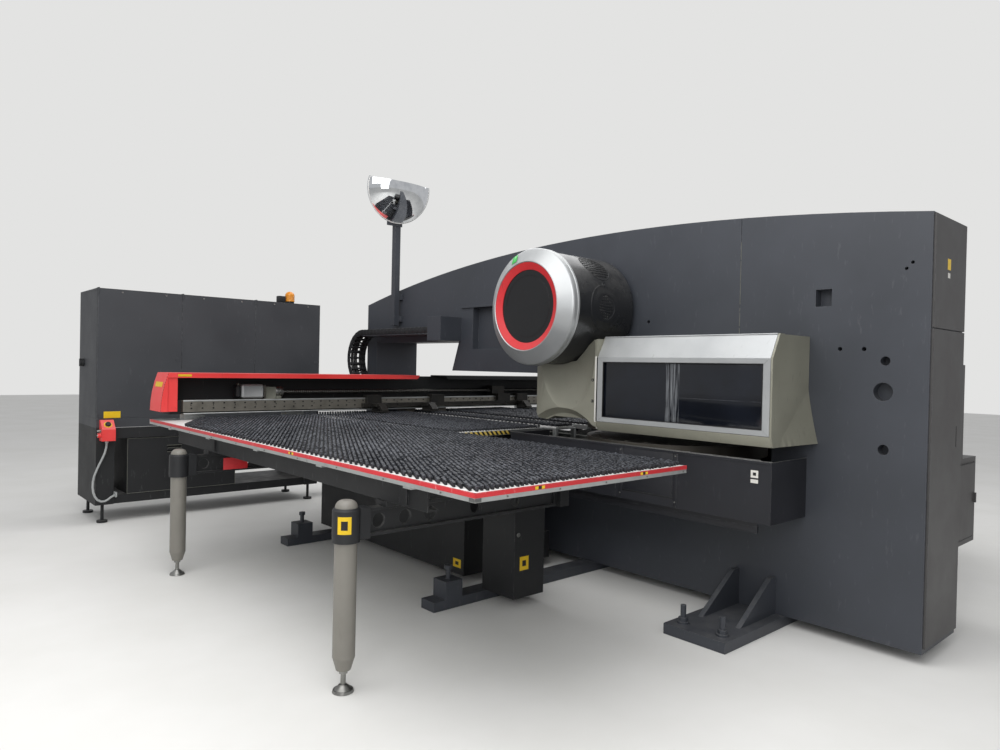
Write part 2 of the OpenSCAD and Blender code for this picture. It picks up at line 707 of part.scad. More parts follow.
// Collars clamp the tubes to the arms
collar_low = 688;
collar_top = 844;
module arm_collars() color("#2a2b2d") both_sides() for (y = [-leg_near, leg_far])
  translate([-leg_x, y, 0]) difference() {
    union() {
      translate([0, 0, collar_low]) cylinder(r = collar_r, h = collar_top - collar_low - 10);
      translate([0, 0, collar_top - 10]) cylinder(r1 = collar_r, r2 = collar_r - 8, h = 10);
      block([0, -arm_t / 2 - 8, collar_low + 4], [collar_r + 46, arm_t / 2 + 8, collar_top - 6]);
    }
    translate([0, 0, collar_low - eps]) cylinder(r = leg_r, h = collar_top - collar_low + 2 * eps);
    block([collar_r - 4, -arm_t / 2, arm_low], [collar_r + 60, arm_t / 2, arm_top]);
  }
// Tubes with a tapered lower end and a domed silver top
tube_low = 102;
taper_h = 59;
dome_h = 36;
module leg_tubes() color("#99958d") both_sides() for (y = [-leg_near, leg_far])
  translate([-leg_x, y, 0]) rotate_extrude() difference() {
    union() {
      polygon([[0, tube_low], [leg_r - 18, tube_low], [leg_r, tube_low + taper_h], [leg_r, collar_top],
        [0, collar_top]]);
      translate([0, collar_top]) square([leg_r - dome_h, dome_h]);
      translate([leg_r - dome_h, collar_top]) intersection() {
        circle(dome_h);
        square([dome_h, dome_h]);
      }
    }
    translate([0, 0]) square([12, tube_low + 40]);
  }
module leg_feet() color("#8b8b88") both_sides() for (y = [-leg_near, leg_far])
  translate([-leg_x, y, 0]) {
    cylinder(r1 = 50, r2 = 46, h = 12);
    translate([0, 0, 12]) cylinder(r1 = 40, r2 = 18, h = 22);
    translate([0, 0, 30]) cylinder(r = 12, h = tube_low + 10 - 30);
    translate([0, 0, tube_low - 16]) cylinder(r = 22, h = 16, $fn = 6);
  }

// Y axis: two rails on the lower beam, a ball screw in the trough and its motor
y_rail_x = 200;
y_rail_w = 40;
y_rail_h = 40;
y_rail_near = 420;
y_screw_z = sill_z - 50;
y_screw_near = 420;
y_screw_far = 2940;
bearing_t = 40;
thread_p = 40;
thread_d = 2.5;
module y_rails() color(steel) both_sides()
  translate([0, 0, sill_z]) along_y(y_rail_near, throat_far - 60)
    polygon([[-y_rail_x - 20, 0], [-y_rail_x + 20, 0], [-y_rail_x + 20, 14], [-y_rail_x + 13, 22],
      [-y_rail_x + 20, 30], [-y_rail_x + 20, y_rail_h], [-y_rail_x - 20, y_rail_h], [-y_rail_x - 20, 30],
      [-y_rail_x - 13, 22], [-y_rail_x - 20, 14]]);
module y_screw() color("#a9a9a6") difference() {
  bar_y([0, y_screw_near + 2, y_screw_z], screw_r, y_screw_far + bearing_t - y_screw_near - 2);
  for (i = [0 : 58])
    translate([0, y_screw_near + 80 + i * thread_p, y_screw_z]) rotate([-90, 0, 0])
      rotate_extrude() translate([screw_r - thread_d, 0]) square([thread_d + 1, 16]);
}
module y_motor() color("#6c6d70") {
  block([-46, trough_near + 30, y_screw_z - 46], [46, y_screw_near - 30, y_screw_z + 46]);
  block([-60, y_screw_near - 30, y_screw_z - 60], [60, y_screw_near, y_screw_z + 46]);
  block([-38, trough_near + 5, y_screw_z - 38], [38, trough_near + 30, y_screw_z + 38]);
}

// Energy chain along the frame's side, its tray and the box that holds its fixed end
chain_x = -half_t - 32 - chain_w;
link_p = 65;
chain_z = 1830;
chain_start = 1800;
straight_n = 18;
bend_n = 13;
return_n = 4;
side_t = 14;
ear_t = 7;
// Links are short enough to clear each other on the inside of the bend
link_len = 53;
chain_low = chain_z - 2 * bend_r;
chain_end = chain_start + (straight_n - return_n) * link_p;
module link() {
  for (x = [0, chain_w - side_t])
    translate([x, -link_len / 2, -link_h / 2]) cube([side_t, link_len, link_h]);
  for (z = [-link_h / 2 + 4, link_h / 2 - 12])
    translate([0, -12, z]) cube([chain_w, 24, 8]);
  // Inner ears that carry the next link
  for (x = [side_t - 1, chain_w - side_t - ear_t + 1])
    translate([x, link_p / 2 - 14, -12]) cube([ear_t, 26, 24]);
}
module energy_chain() color("#1b1c1f") translate([chain_x, chain_start, chain_z]) {
  for (i = [0 : straight_n - 1])
    translate([0, (i + 0.5) * link_p, 0]) link();
  for (i = [0 : bend_n - 1])
    translate([0, straight_n * link_p, -bend_r]) rotate([-(i + 0.5) * 180 / bend_n, 0, 0])
      translate([0, 0, bend_r]) link();
  for (i = [0 : return_n - 1])
    translate([0, straight_n * link_p - (i + 0.5) * link_p, -2 * bend_r]) rotate([180, 0, 0]) link();
}
module chain_tray() color("#2c2e32") {
  // Ledge under the upper run
  block([chain_x, chain_start, chain_z - link_h / 2 - 6], [-half_t, frame_far - 260, chain_z - link_h / 2]);
  block([-half_t - 6, chain_start, chain_z - link_h / 2 - 70], [-half_t, frame_far - 260, chain_z - link_h / 2 - 6]);
  // Box over the fixed end
  difference() {
    block([chain_x - 14, chain_start - 200, chain_z - 100], [-half_t, chain_start, chain_z + 118]);
    block([chain_x - 4, chain_start - 60, chain_z - link_h / 2 - 4], [chain_x + chain_w + 4, chain_start + eps, chain_z + link_h / 2 + 4]);
  }
}

// Safety mirror on a square pole, held by two brackets
pole_x = -half_t - 58;
pole_y = 2610;
pole_low = 1900;
mirror_plate = pole_y - pole_w / 2 - 6;
mirror_at = [pole_x - 46, mirror_plate - 69, pole_top + 295];
module mirror_pole() color("#2a2b2e") {
  difference() {
    block([pole_x - pole_w / 2, pole_y - pole_w / 2, pole_low], [pole_x + pole_w / 2, pole_y + pole_w / 2, pole_top]);
    block([pole_x - pole_w / 2 + 4, pole_y - pole_w / 2 + 4, pole_low - eps],
      [pole_x + pole_w / 2 - 4, pole_y + pole_w / 2 - 4, pole_top - 4]);
  }
  for (z = [pole_low + 40, pole_low + 260])
    block([pole_x + pole_w / 2, pole_y - 60, z], [-half_t, pole_y + 60, z + 60]);
  // Plate and post that hold the mirror
  block([mirror_at[0] - 90, mirror_plate, pole_top - 60], [mirror_at[0] + 90, mirror_plate + 6, mirror_at[2] - 20]);
}
// Part of a domed mirror, cut flat along the top and tipped down towards the operator
dome_d = 150;
dome_cut = 66;
dome_turn = 8;
dome_tilt = 9;
dome_roll = 2;
dome_shell_r = (mirror_r * mirror_r + dome_d * dome_d) / (2 * dome_d);
module place_mirror() translate(mirror_at)
  rotate([0, 0, -dome_turn]) rotate([dome_tilt, 0, 0]) rotate([0, dome_roll, 0]) children();
module mirror_dome() color("#b8bcc0") difference() {
  place_mirror() mirror_parts();
  // The brackets end on the pole's plate
  block([pole_x - 2 * mirror_r, mirror_plate, pole_low], [pole_x + 2 * mirror_r, pole_y + mirror_r, mirror_at[2] + mirror_r]);
}
module mirror_parts() {
  intersection() {
    translate([0, dome_shell_r - dome_d, 0]) sphere(dome_shell_r, $fn = 180);
    translate([-mirror_r, -dome_d - 1, -mirror_r - 1]) cube([2 * mirror_r, dome_d + 1, mirror_r + 1 + dome_cut]);
  }
  // Rim and back plate
  intersection() {
    rotate([-90, 0, 0]) cylinder(r = mirror_r + 8, h = 10, $fn = 96);
    translate([-mirror_r - 9, -1, -mirror_r - 9]) cube([2 * mirror_r + 18, 12, mirror_r + 9 + dome_cut + 8]);
  }
  // Bracket back to the pole
  for (x = [-70, 40])
    block([x, 10, -180], [x + 30, 110, -20]);
}

// Control cabinet: shell with a mounting plate, three doors, plinth and lower electrics box
cab_wall = 4;
cab_w = cab_left - cab_right;
door_w = cab_w / 3;
cab_back = cab_front + cab_depth;
door_low = cab_low + kick_h;
module cabinet_body() color("#2d2f33") {
  difference() {
    block([-cab_left, cab_front + door_t + door_gap, cab_low], [-cab_right, cab_back, cab_top]);
    block([-cab_left + cab_wall, cab_front, cab_low + cab_wall], [-cab_right - cab_wall, cab_back - cab_wall, cab_top - cab_wall]);
  }
  for (i = [1, 2])
    block([-cab_left + i * door_w - 20, cab_front + door_t + door_gap, cab_low + cab_wall],
      [-cab_left + i * door_w + 20, cab_front + door_t + door_gap + 30, cab_top - cab_wall]);
  // Fixed panel under the doors
  block([-cab_left, cab_front, cab_low], [-cab_right, cab_front + door_t + door_gap, door_low - door_gap]);
  // Pivot lugs of the doors, on the top and on the fixed panel
  for (i = [0 : 2]) translate([-cab_left + i * door_w, 0, 0]) {
    block([0, cab_front - 2 * knuckle_r, cab_top], [2 * hinge_in, cab_front + door_t + 30, cab_top + 3]);
    block([0, cab_front - 2 * knuckle_r, door_low - door_gap - 8], [2 * hinge_in, cab_front, door_low - door_gap]);
  }
  for (i = [0 : 2])
    door_pins(i, hinge_pin_r);
  // Mounting plate with rows of devices
  block([-cab_left + 30, cab_back - 40, cab_low + 40], [-cab_right - 30, cab_back - 36, cab_top - 40]);
  for (z = [cab_low + 140 : 280 : cab_top - 240], x = [-cab_left + 80 : 340 : -cab_right - 340])
    block([x, cab_back - 160, z], [x + 260, cab_back - 40, z + 170]);
}
knuckle_r = 6;
knuckle_h = 44;
hinge_in = 6;
hinge_pin_r = 3;
// Pivot pins of a door, one at each end
module door_pins(i, r)
  for (z = [door_low - door_gap - 4, cab_top - door_gap - 20])
    translate([-cab_left + i * door_w + hinge_in, cab_front - knuckle_r, z]) cylinder(r = r, h = 24, $fn = 32);
module cabinet_door(i) color("#2f3135") {
  x0 = -cab_left + i * door_w + door_gap / 2;
  x1 = x0 + door_w - door_gap;
  difference() {
    block([x0, cab_front, door_low], [x1, cab_front + door_t, cab_top - door_gap]);
    block([x0 + 3, cab_front + 3, door_low + 3], [x1 - 3, cab_front + door_t + eps, cab_top - door_gap - 3]);
  }
  // Stiffening folds inside
  for (x = [x0 + 60, x1 - 80])
    block([x, cab_front + 3, door_low + 60], [x + 20, cab_front + door_t - 4, cab_top - 60]);
  // Hinge knuckles at both ends of the hinge side
  for (z = [door_low, cab_top - door_gap - knuckle_h])
    difference() {
      translate([x0 - door_gap / 2 + hinge_in, cab_front - knuckle_r, z]) union() {
        cylinder(r = knuckle_r, h = knuckle_h);
        translate([-2, 0, 0]) cube([knuckle_r + 2, knuckle_r, knuckle_h]);
      }
      door_pins(i, hinge_pin_r + run_gap);
    }
  // Flush latch
  translate([x1 - 40, cab_front - 3, (cab_low + cab_top) / 2]) rotate([-90, 0, 0]) cylinder(r = 16, h = 6);
}
module cabinet_door_1() cabinet_door(0);
module cabinet_door_2() cabinet_door(1);
module cabinet_door_3() cabinet_door(2);

base_h = 170;
module cabinet_plinth() color("#27292c") {
  // Posts and sills
  for (x = [-cab_left, -cab_right - 150])
    block([x, cab_front, base_h], [x + 150, cab_back, cab_low]);
  block([-cab_left + 150, cab_front + 20, base_h], [-cab_right - 150, cab_back, base_h + 80]);
  block([-cab_left + 150, cab_front, cab_low - 100], [-cab_right - 150, cab_front + 40, cab_low - 6]);
  // Lower electrics box with a recessed grip
  difference() {
    block([-2510, cab_front + 14, base_h + 80], [-1500, cab_back - 40, cab_low - 110]);
    block([-2160, cab_front + 14 - eps, 620], [-2030, cab_front + 34, 680]);
  }
  block([-2160, cab_front + 8, 640], [-2030, cab_front + 20, 656]);
  for (x = [-cab_left + 40, -cab_right - 110], y = [cab_front + 40, cab_back - 110])
    translate([x + 35, y + 35, 0]) {
      cylinder(r = 45, h = 20);
      translate([0, 0, 20]) cylinder(r = 14, h = base_h - 20);
    }
  // Trunking from the plinth to the far end of the frame
  block([-cab_right, cab_front + 200, 300], [-100, cab_front + 320, 420]);
  block([-220, frame_far, 300], [-100, cab_front + 200, 420]);
}
module beacon_lamp() color("#d98a28") {
  translate([-920, cab_front + 60, cab_top]) {
    cylinder(r = 40, h = 16);
    translate([0, 0, 16]) cylinder(r = 50, h = 60);
    translate([0, 0, 76]) intersection() {
      sphere(50);
      translate([0, 0, 25]) cube([100, 100, 50], center = true);
    }
  }
  block([-1060, cab_front + 30, cab_top], [-980, cab_front + 90, cab_top + 70]);
}
isolator_pos = [-cab_left - slide_gap, cab_back - 180, 1460];
module isolator_knob() color("#1d1d1f") translate(isolator_pos) rotate([0, -90, 0]) {
  cylinder(r = 38, h = 14);
  translate([0, 0, 14]) cylinder(r = 24, h = 16);
  translate([-36, -8, 14]) cube([72, 16, 24]);
}

// Stop box on the plinth's corner post, with a slanted face for its button
stop_low = [-2750, cab_front - 110, 760];
stop_high = [-2640, cab_front, 945];
stop_slant = 80;
button_r = 24;
button_travel = 6;
stem_r = 9;
module at_button() translate([(stop_low[0] + stop_high[0]) / 2, stop_low[1] + stop_slant / 2, stop_high[2] - stop_slant / 2])
  rotate([45, 0, 0]) children();
module estop_box() color(signal_red) difference() {
  union() {
    translate([(stop_low[0] + stop_high[0]) / 2, 0, 0]) along_x(stop_high[0] - stop_low[0])
      polygon([[stop_low[1], stop_low[2]], [stop_high[1], stop_low[2]], [stop_high[1], stop_high[2]],
        [stop_low[1] + stop_slant, stop_high[2]], [stop_low[1], stop_high[2] - stop_slant]]);
    bar_x([stop_low[0] - 24, stop_low[1] + 55, stop_low[2] + 50], 20, 24);
  }
  at_button() translate([0, 0, -30]) cylinder(r = stem_r + run_gap, h = 31);
}
module estop_button() color("#17171a") at_button() {
  translate([0, 0, -20]) cylinder(r = stem_r, h = 20 + button_travel + 1);
  translate([0, 0, button_travel + 1]) cylinder(r1 = button_r, r2 = button_r - 4, h = 12);
}
// Bent conduit: a round section swept through points in the plane of the stop box
conduit_r = 10;
conduit_sides = 12;
conduit_path = [[-2700, stop_low[2]], [-2700, 735], [-2703, 700], [-2714, 650], [-2734, 600],
  [-2757, 550], [-2778, 500], [-2796, 450], [-2806, 400], [-2808, 350], [-2802, 300], [-2788, 260],
  [-2767, 230], [-2738, 213], [-2708, 213], [-2682, 226], [-2660, 244], [-2636, 258], [-2626, 262]];
function heading(i) =
  let (last = len(conduit_path) - 1, d = conduit_path[min(i + 1, last)] - conduit_path[max(i - 1, 0)])
  d / norm(d);
module conduit() color("#9b9c9b") {
  n = len(conduit_path);
  s = conduit_sides;
  ring_points = [for (i = [0 : n - 1], k = [0 : s - 1])
    let (t = heading(i), a = 360 * k / s, c = conduit_r * cos(a))
      [conduit_path[i][0] - t[1] * c, conduit_y + conduit_r * sin(a), conduit_path[i][1] + t[0] * c]];
  sides = [for (i = [0 : n - 2], k = [0 : s - 1])
    [i * s + k, i * s + (k + 1) % s, (i + 1) * s + (k + 1) % s, (i + 1) * s + k]];
  polyhedron(ring_points, concat([[for (k = [s - 1 : -1 : 0]) k]], sides, [[for (k = [0 : s - 1]) (n - 1) * s + k]]));
  // Gland on the corner post
  block([-2626, conduit_y - 18, 242], [-2612, cab_front, 286]);
}
conduit_y = cab_front - 55;

// Carriage saddle: shoes on the Y rails, a cross plate and the nut in the trough
shoe_near = beam_front + 100;
shoe_len = 170;
module carriage_saddle() color("#505356") {
  both_sides() difference() {
    block([-y_rail_x - 46, shoe_near, sill_z + slide_gap + 5], [-y_rail_x + 46, shoe_near + shoe_len, beam_low]);
    along_y(shoe_near - eps, shoe_near + shoe_len + eps)
      polygon([[-y_rail_x - 20 - slide_gap, sill_z - 1], [-y_rail_x + 20 + slide_gap, sill_z - 1],
        [-y_rail_x + 20 + slide_gap, sill_z + y_rail_h + slide_gap],
        [-y_rail_x - 20 - slide_gap, sill_z + y_rail_h + slide_gap]]);
  }
  difference() {
    union() {
      block([-y_rail_x + 40, shoe_near + 20, sill_z + y_rail_h + 6], [y_rail_x - 40, shoe_near + shoe_len - 20, plate_top - 24]);
      block([-50, shoe_near + 40, y_screw_z - 45], [50, shoe_near + shoe_len - 40, sill_z + y_rail_h + 6]);
    }
    bar_y([0, shoe_near, y_screw_z], screw_r + run_gap, shoe_len);
  }
}

// Carriage beam: folded back and box section that carries the guide bar
beam_half = table_out - 97;
back_t = 15;
guide_front = beam_front + 60;
guide_t = 50;
guide_low = 1085;
guide_top = 1180;
screw_y = beam_front + 170;
screw_z = 1240;
beam_back = beam_front + beam_depth;
module x_beam() color("#35373a") {
  along_x(2 * beam_half) polygon([
    [guide_front + guide_t, beam_low], [beam_back, beam_low], [beam_back, beam_top - 14],
    [beam_back - back_t, beam_top - 14], [beam_back - back_t, guide_top - 6],
    [guide_front + guide_t, guide_top - 6]]);
  // Bracket that takes the moving end of the energy chain
  block([chain_x, beam_back, chain_low - link_h / 2], [chain_x + chain_w, chain_end - 20, chain_low + link_h / 2]);
}
// Guide bar with pairs of holes, and the bright lower rail
bar_hole_r = 6;
hole_p = 180;
lower_rail_z = 1069;
module x_guide_bar() color("#6e6a63") {
  difference() {
    block([-beam_half + 90, guide_front, guide_low], [beam_half - 90, guide_front + guide_t, guide_top]);
    block([-beam_half + 90 - eps, guide_front - eps, guide_top - 12], [beam_half - 90 + eps, guide_front + 8, guide_top + eps]);
    for (x = [-beam_half + 150 : hole_p : beam_half - 150])
      bar_y([x, guide_front - eps, (guide_low + guide_top) / 2 + 6], bar_hole_r, 20);
  }
  block([-beam_half + 90, guide_front - 8, beam_low], [beam_half - 90, guide_front + guide_t, beam_low + 8]);
}
cover_in = 170;
cover_t = 38;
cover_plate = 6;
module beam_top_cover() color(signal_red) both_sides() {
  // Lip with a rounded inner end, and the top plate
  along_y(beam_front, beam_front + cover_plate) difference() {
    translate([-beam_half + 24, beam_top - cover_t]) square([beam_half - 24 - cover_in, cover_t]);
    difference() {
      translate([-cover_in - cover_t, beam_top - cover_t - 1]) square([cover_t + 1, cover_t + 1]);
      translate([-cover_in - cover_t, beam_top]) circle(cover_t);
    }
  }
  block([-beam_half + 24, beam_front + cover_plate, beam_top - cover_plate], [-cover_in, beam_back, beam_top]);
  block([-beam_half + 24, beam_back - back_t, beam_top - 14], [-cover_in, beam_back, beam_top - cover_plate]);
}
// Red end caps, with the outer face leaning in towards the top
cap_out = table_out;
cap_lean = 55;
cap_low = 1094;
cap_in = beam_half - 30;
cap_wall = 6;
cap_recess = 10;
// Side of an end cap: bulged, leaning in towards the top
function cap_side(in, top) = [for (t = [0, 0.25, 0.5, 0.75, 1])
  [-cap_out + in + cap_lean * t * t, cap_low + t * (top - cap_low)]];
module beam_end_caps() color(signal_red) both_sides() difference() {
  along_y(beam_front, beam_back)
    polygon(concat(cap_side(0, beam_top), [[-beam_half + 24, beam_top], [-beam_half + 24, beam_top - cover_t],
      [-cap_in, beam_top - cover_t], [-cap_in, cap_low]]));
  along_y(beam_front + cap_recess + cap_wall, beam_back + eps)
    polygon(concat([[-cap_in + eps, cap_low - eps], [-cap_out + cap_wall, cap_low - eps]], cap_side(cap_wall, beam_top - cap_wall),
      [[-beam_half + 18, beam_top - cap_wall], [-beam_half + 18, beam_top - cover_t - 2],
      [-cap_in + eps, beam_top - cover_t - 2]]));
  // Front panel set back under the lip
  block([-cap_out + 52, beam_front - eps, cap_low - eps], [-cap_in + eps, beam_front + cap_recess, beam_top - cover_t]);
  // Room for the beam's back plate
  block([-beam_half, beam_back - back_t, beam_low], [-cap_in + eps, beam_back + eps, beam_top - 14]);
}
// Servo motor, bracket and bearing of the X ball screw
motor_left = 1940;
motor_w = 130;
module x_motor() color("#b4b4b1") {
  block([-motor_left + 40, screw_y - motor_w / 2, screw_z - 54], [-motor_left + 240, screw_y + motor_w / 2, screw_z + motor_w / 2]);
  block([-motor_left, screw_y - motor_w / 2 + 8, screw_z - 54], [-motor_left + 40, screw_y + motor_w / 2 - 8, screw_z + motor_w / 2 - 8]);
  block([-motor_left + 240, screw_y - 50, guide_top - 6], [-motor_left + 350, screw_y + 50, screw_z + 44]);
  difference() {
    union() {
      bar_x([-motor_left + 350, screw_y, screw_z], 52, 80);
      block([-motor_left + 350, screw_y - 50, guide_top - 6], [-motor_left + 400, screw_y + 50, screw_z]);
      block([beam_half - 370, screw_y - 50, guide_top - 6], [beam_half - 310, screw_y + 50, screw_z + 50]);
    }
    bar_x([-motor_left + 350 - eps, screw_y, screw_z], screw_r + run_gap, 2 * beam_half);
  }
}
module x_screw() color("#4d4d4b") difference() {
  bar_x([-motor_left + 352, screw_y, screw_z], screw_r, beam_half - 312 + motor_left - 352);
  for (i = [0 : 58])
    translate([-motor_left + 470 + i * 56, screw_y, screw_z]) rotate([0, 90, 0])
      rotate_extrude() translate([screw_r - 3, 0]) square([4, 20]);
}

// Clamp carriage: long bar with shoes on the guide bar, and the nut bracket over it
slide_front = guide_front - 42;
nut_x = 1000;
nut_len = 180;
hook_t = 26;
shoe_w = 160;
module x_slide() color("#5a5c5e") {
  difference() {
    block([-slide_left, slide_front, guide_low + 10], [slide_len - slide_left, guide_front - slide_gap, guide_low + 44]);
    for (x = [-slide_left + 60 : shoe_w : slide_len - slide_left - 60])
      bar_y([x, slide_front - eps, guide_low + 27], 7, 14);
  }
  // Shoes hooked over the top of the guide bar
  for (x = [-slide_left + 40, -slide_left + 5 * shoe_w, slide_len - slide_left - 40 - shoe_w])
    shoe(x, shoe_w);
  // Nut bracket
  shoe(nut_x - nut_len / 2, nut_len);
  block([nut_x - nut_len / 2, guide_front + guide_t - 10, guide_top + slide_gap],
    [nut_x + nut_len / 2, screw_y - 48, guide_top + hook_t]);
  difference() {
    block([nut_x - nut_len / 2, screw_y - 48, guide_top + slide_gap], [nut_x + nut_len / 2, screw_y + 48, screw_z + 50]);
    bar_x([nut_x - nut_len / 2 - 1, screw_y, screw_z], screw_r + run_gap, nut_len + 2);
  }
}
module shoe(x, len) translate([x, 0, 0]) {
  block([0, slide_front, guide_low + 44], [len, guide_front - slide_gap, guide_top + hook_t]);
  block([0, guide_front - slide_gap, guide_top + slide_gap], [len, guide_front + guide_t - 10, guide_top + hook_t]);
}

// Work clamps: body with a thin lower jaw, and an upper jaw that tips open
clamp_x = [-650, -60, 1250];
clamp_w = 120;
clamp_reach = 150;
jaw_pin_y = slide_front - 60;
jaw_pin_z = 1094;
sheet_z = pass_z + 8;
pin_r = 7;
module clamp_bodies() color("#4b4c4e") for (x = clamp_x) translate([x, 0, 0]) {
  difference() {
    block([-clamp_w / 2, slide_front - 90, guide_low + 12], [clamp_w / 2, slide_front, guide_low + 42]);
    block([-clamp_w / 2 + 22, slide_front - 90 - eps, guide_low], [clamp_w / 2 - 22, slide_front - 20, guide_low + 60]);
    bar_x([-clamp_w / 2 - eps, jaw_pin_y, jaw_pin_z + 20], pin_r + run_gap, clamp_w + 2 * eps);
  }
  block([-clamp_w / 2, slide_front - 12, sheet_z - 6], [clamp_w / 2, slide_front, guide_low + 12]);
  block([-clamp_w / 2, slide_front - clamp_reach, sheet_z - 6], [clamp_w / 2, slide_front, sheet_z]);
}
module clamp_jaw(x) color("#7b7c7d") translate([x, 0, 0]) {
  bar_x([-clamp_w / 2, jaw_pin_y, jaw_pin_z + 20], pin_r, clamp_w);
  along_x(clamp_w - 46)
    polygon([[jaw_pin_y + 24, jaw_pin_z + 6], [jaw_pin_y + 24, jaw_pin_z + 34], [jaw_pin_y - 20, jaw_pin_z + 36],
      [slide_front - clamp_reach, sheet_z + 16], [slide_front - clamp_reach, sheet_z + 3],
      [slide_front - clamp_reach + 30, sheet_z + 3], [jaw_pin_y - 10, jaw_pin_z + 2]]);
}
module clamp_jaw_1() clamp_jaw(clamp_x[0]);
module clamp_jaw_2() clamp_jaw(clamp_x[1]);
module clamp_jaw_3() clamp_jaw(clamp_x[2]);

bridge_frame();
end_cover();
frame_feet();
pedestals();
drum_housing();
drum_ring();
drum_inner_ring();
drum_disc();
ram_shroud();
guard_housing();
guard_right();
lower_box_left();
lower_box_right();
service_cabinet();
ram_drive();
turret_spindles();
centre_table();
centre_brushes();
support_arms();
arm_collars();
leg_tubes();
leg_feet();
y_rails();
y_motor();
energy_chain();
chain_tray();
mirror_pole();
mirror_dome();
cabinet_body();
cabinet_plinth();
beacon_lamp();
estop_box();
conduit();
carriage_saddle();
x_beam();
x_guide_bar();
beam_top_cover();
beam_end_caps();
x_motor();
side_table_left();
side_table_right();
side_brushes();
table_rails();
x_slide();
clamp_bodies();
clamp_jaw_1();
clamp_jaw_2();
clamp_jaw_3();
x_screw();
y_screw();
turret_upper();
turret_lower();
striker();
guard_door();
guard_glass();
cabinet_door_1();
cabinet_door_2();
cabinet_door_3();
isolator_knob();
estop_button();
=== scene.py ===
import math

import bpy
import numpy as np
from mathutils import Matrix, Vector


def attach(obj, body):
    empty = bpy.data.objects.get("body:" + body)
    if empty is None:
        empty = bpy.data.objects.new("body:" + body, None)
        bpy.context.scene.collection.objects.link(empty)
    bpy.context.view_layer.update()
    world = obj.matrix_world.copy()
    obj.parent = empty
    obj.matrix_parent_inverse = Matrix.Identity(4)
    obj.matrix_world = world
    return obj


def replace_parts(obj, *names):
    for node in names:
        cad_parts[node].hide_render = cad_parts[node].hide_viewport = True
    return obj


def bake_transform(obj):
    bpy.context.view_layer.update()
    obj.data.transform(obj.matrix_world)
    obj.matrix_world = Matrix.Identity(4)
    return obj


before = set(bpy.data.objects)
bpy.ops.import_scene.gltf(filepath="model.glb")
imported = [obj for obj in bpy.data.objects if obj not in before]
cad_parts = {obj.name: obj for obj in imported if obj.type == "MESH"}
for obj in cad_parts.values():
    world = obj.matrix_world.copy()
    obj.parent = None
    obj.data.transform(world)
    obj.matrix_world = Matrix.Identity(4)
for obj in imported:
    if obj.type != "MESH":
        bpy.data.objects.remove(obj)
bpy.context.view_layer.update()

scene = bpy.context.scene
scene.view_settings.view_transform = "Standard"

# camera as the photograph was taken: standing eye height, almost level, a little rolled; yaw from +Y to +X
shot = {"place": (-4.339, -3.52, 1.5), "yaw": 41.77, "down": 0.63, "roll": 1.23, "lens": 25.63}


def placeCamera(shot):
    yaw, down, roll = (math.radians(shot[key]) for key in ("yaw", "down", "roll"))
    ahead = Vector((math.sin(yaw) * math.cos(down), math.cos(yaw) * math.cos(down), -math.sin(down)))
    flat = Vector((math.cos(yaw), -math.sin(yaw), 0))
    up = flat.cross(ahead)
    right = flat * math.cos(roll) + up * math.sin(roll)
    top = up * math.cos(roll) - flat * math.sin(roll)
    lens = bpy.data.cameras.new("camera")
    lens.sensor_width, lens.lens, lens.clip_end = 36, shot["lens"], 100
    holder = bpy.data.objects.new("camera", lens)
    holder.matrix_world = Matrix.Translation(shot["place"]) @ Matrix((right, top, -ahead)).transposed().to_4x4()
    scene.collection.objects.link(holder)
    scene.camera = holder


placeCamera(shot)
print("camera placed")


# small helpers for colours and nodes

def linear(hexColour):
    parts = [int(hexColour[i:i + 2], 16) / 255 for i in (1, 3, 5)]
    return [c / 12.92 if c <= 0.04045 else ((c + 0.055) / 1.055) ** 2.4 for c in parts] + [1.0]


def addNode(tree, kind, settings=None, links=None):
    node = tree.nodes.new("ShaderNode" + kind)
    for key, value in (settings or {}).items():
        if isinstance(key, str) and hasattr(node, key):
            setattr(node, key, value)
        else:
            node.inputs[key].default_value = value
    for key, socket in (links or {}).items():
        tree.links.new(socket, node.inputs[key])
    return node


def startMaterial(name):
    material = bpy.data.materials.new(name)
    material.use_nodes = True
    tree = material.node_tree
    tree.nodes.clear()
    shader = addNode(tree, "BsdfPrincipled")
    addNode(tree, "OutputMaterial", links={"Surface": shader.outputs[0]})
    place = addNode(tree, "TexCoord").outputs["Object"]
    return material, tree, shader, place


def setShader(tree, shader, links, values):
    for key, socket in links.items():
        tree.links.new(socket, shader.inputs[key])
    for key, value in values.items():
        shader.inputs[key].default_value = value


def compute(tree, operation, *terms, clamp=False):
    # each term is a number or a socket
    numbers = {i: term for i, term in enumerate(terms) if isinstance(term, (int, float))}
    sockets = {i: term for i, term in enumerate(terms) if i not in numbers}
    return addNode(tree, "Math", {"operation": operation, "use_clamp": clamp, **numbers}, sockets).outputs[0]


def remap(tree, value, start, end, low=0.0, high=1.0):
    return addNode(tree, "MapRange", {"From Min": start, "From Max": end, "To Min": low, "To Max": high},
                   {"Value": value}).outputs[0]


def splitAxes(tree, vector):
    return addNode(tree, "SeparateXYZ", links={0: vector}).outputs


def blendColour(tree, amount, under, over):
    # the colours are hex or sockets, the amount is a socket
    plain = {slot: linear(colour) for slot, colour in ((6, under), (7, over)) if isinstance(colour, str)}
    sockets = {slot: colour for slot, colour in ((6, under), (7, over)) if slot not in plain}
    return addNode(tree, "Mix", {"data_type": "RGBA", **plain}, {0: amount, **sockets}).outputs[2]


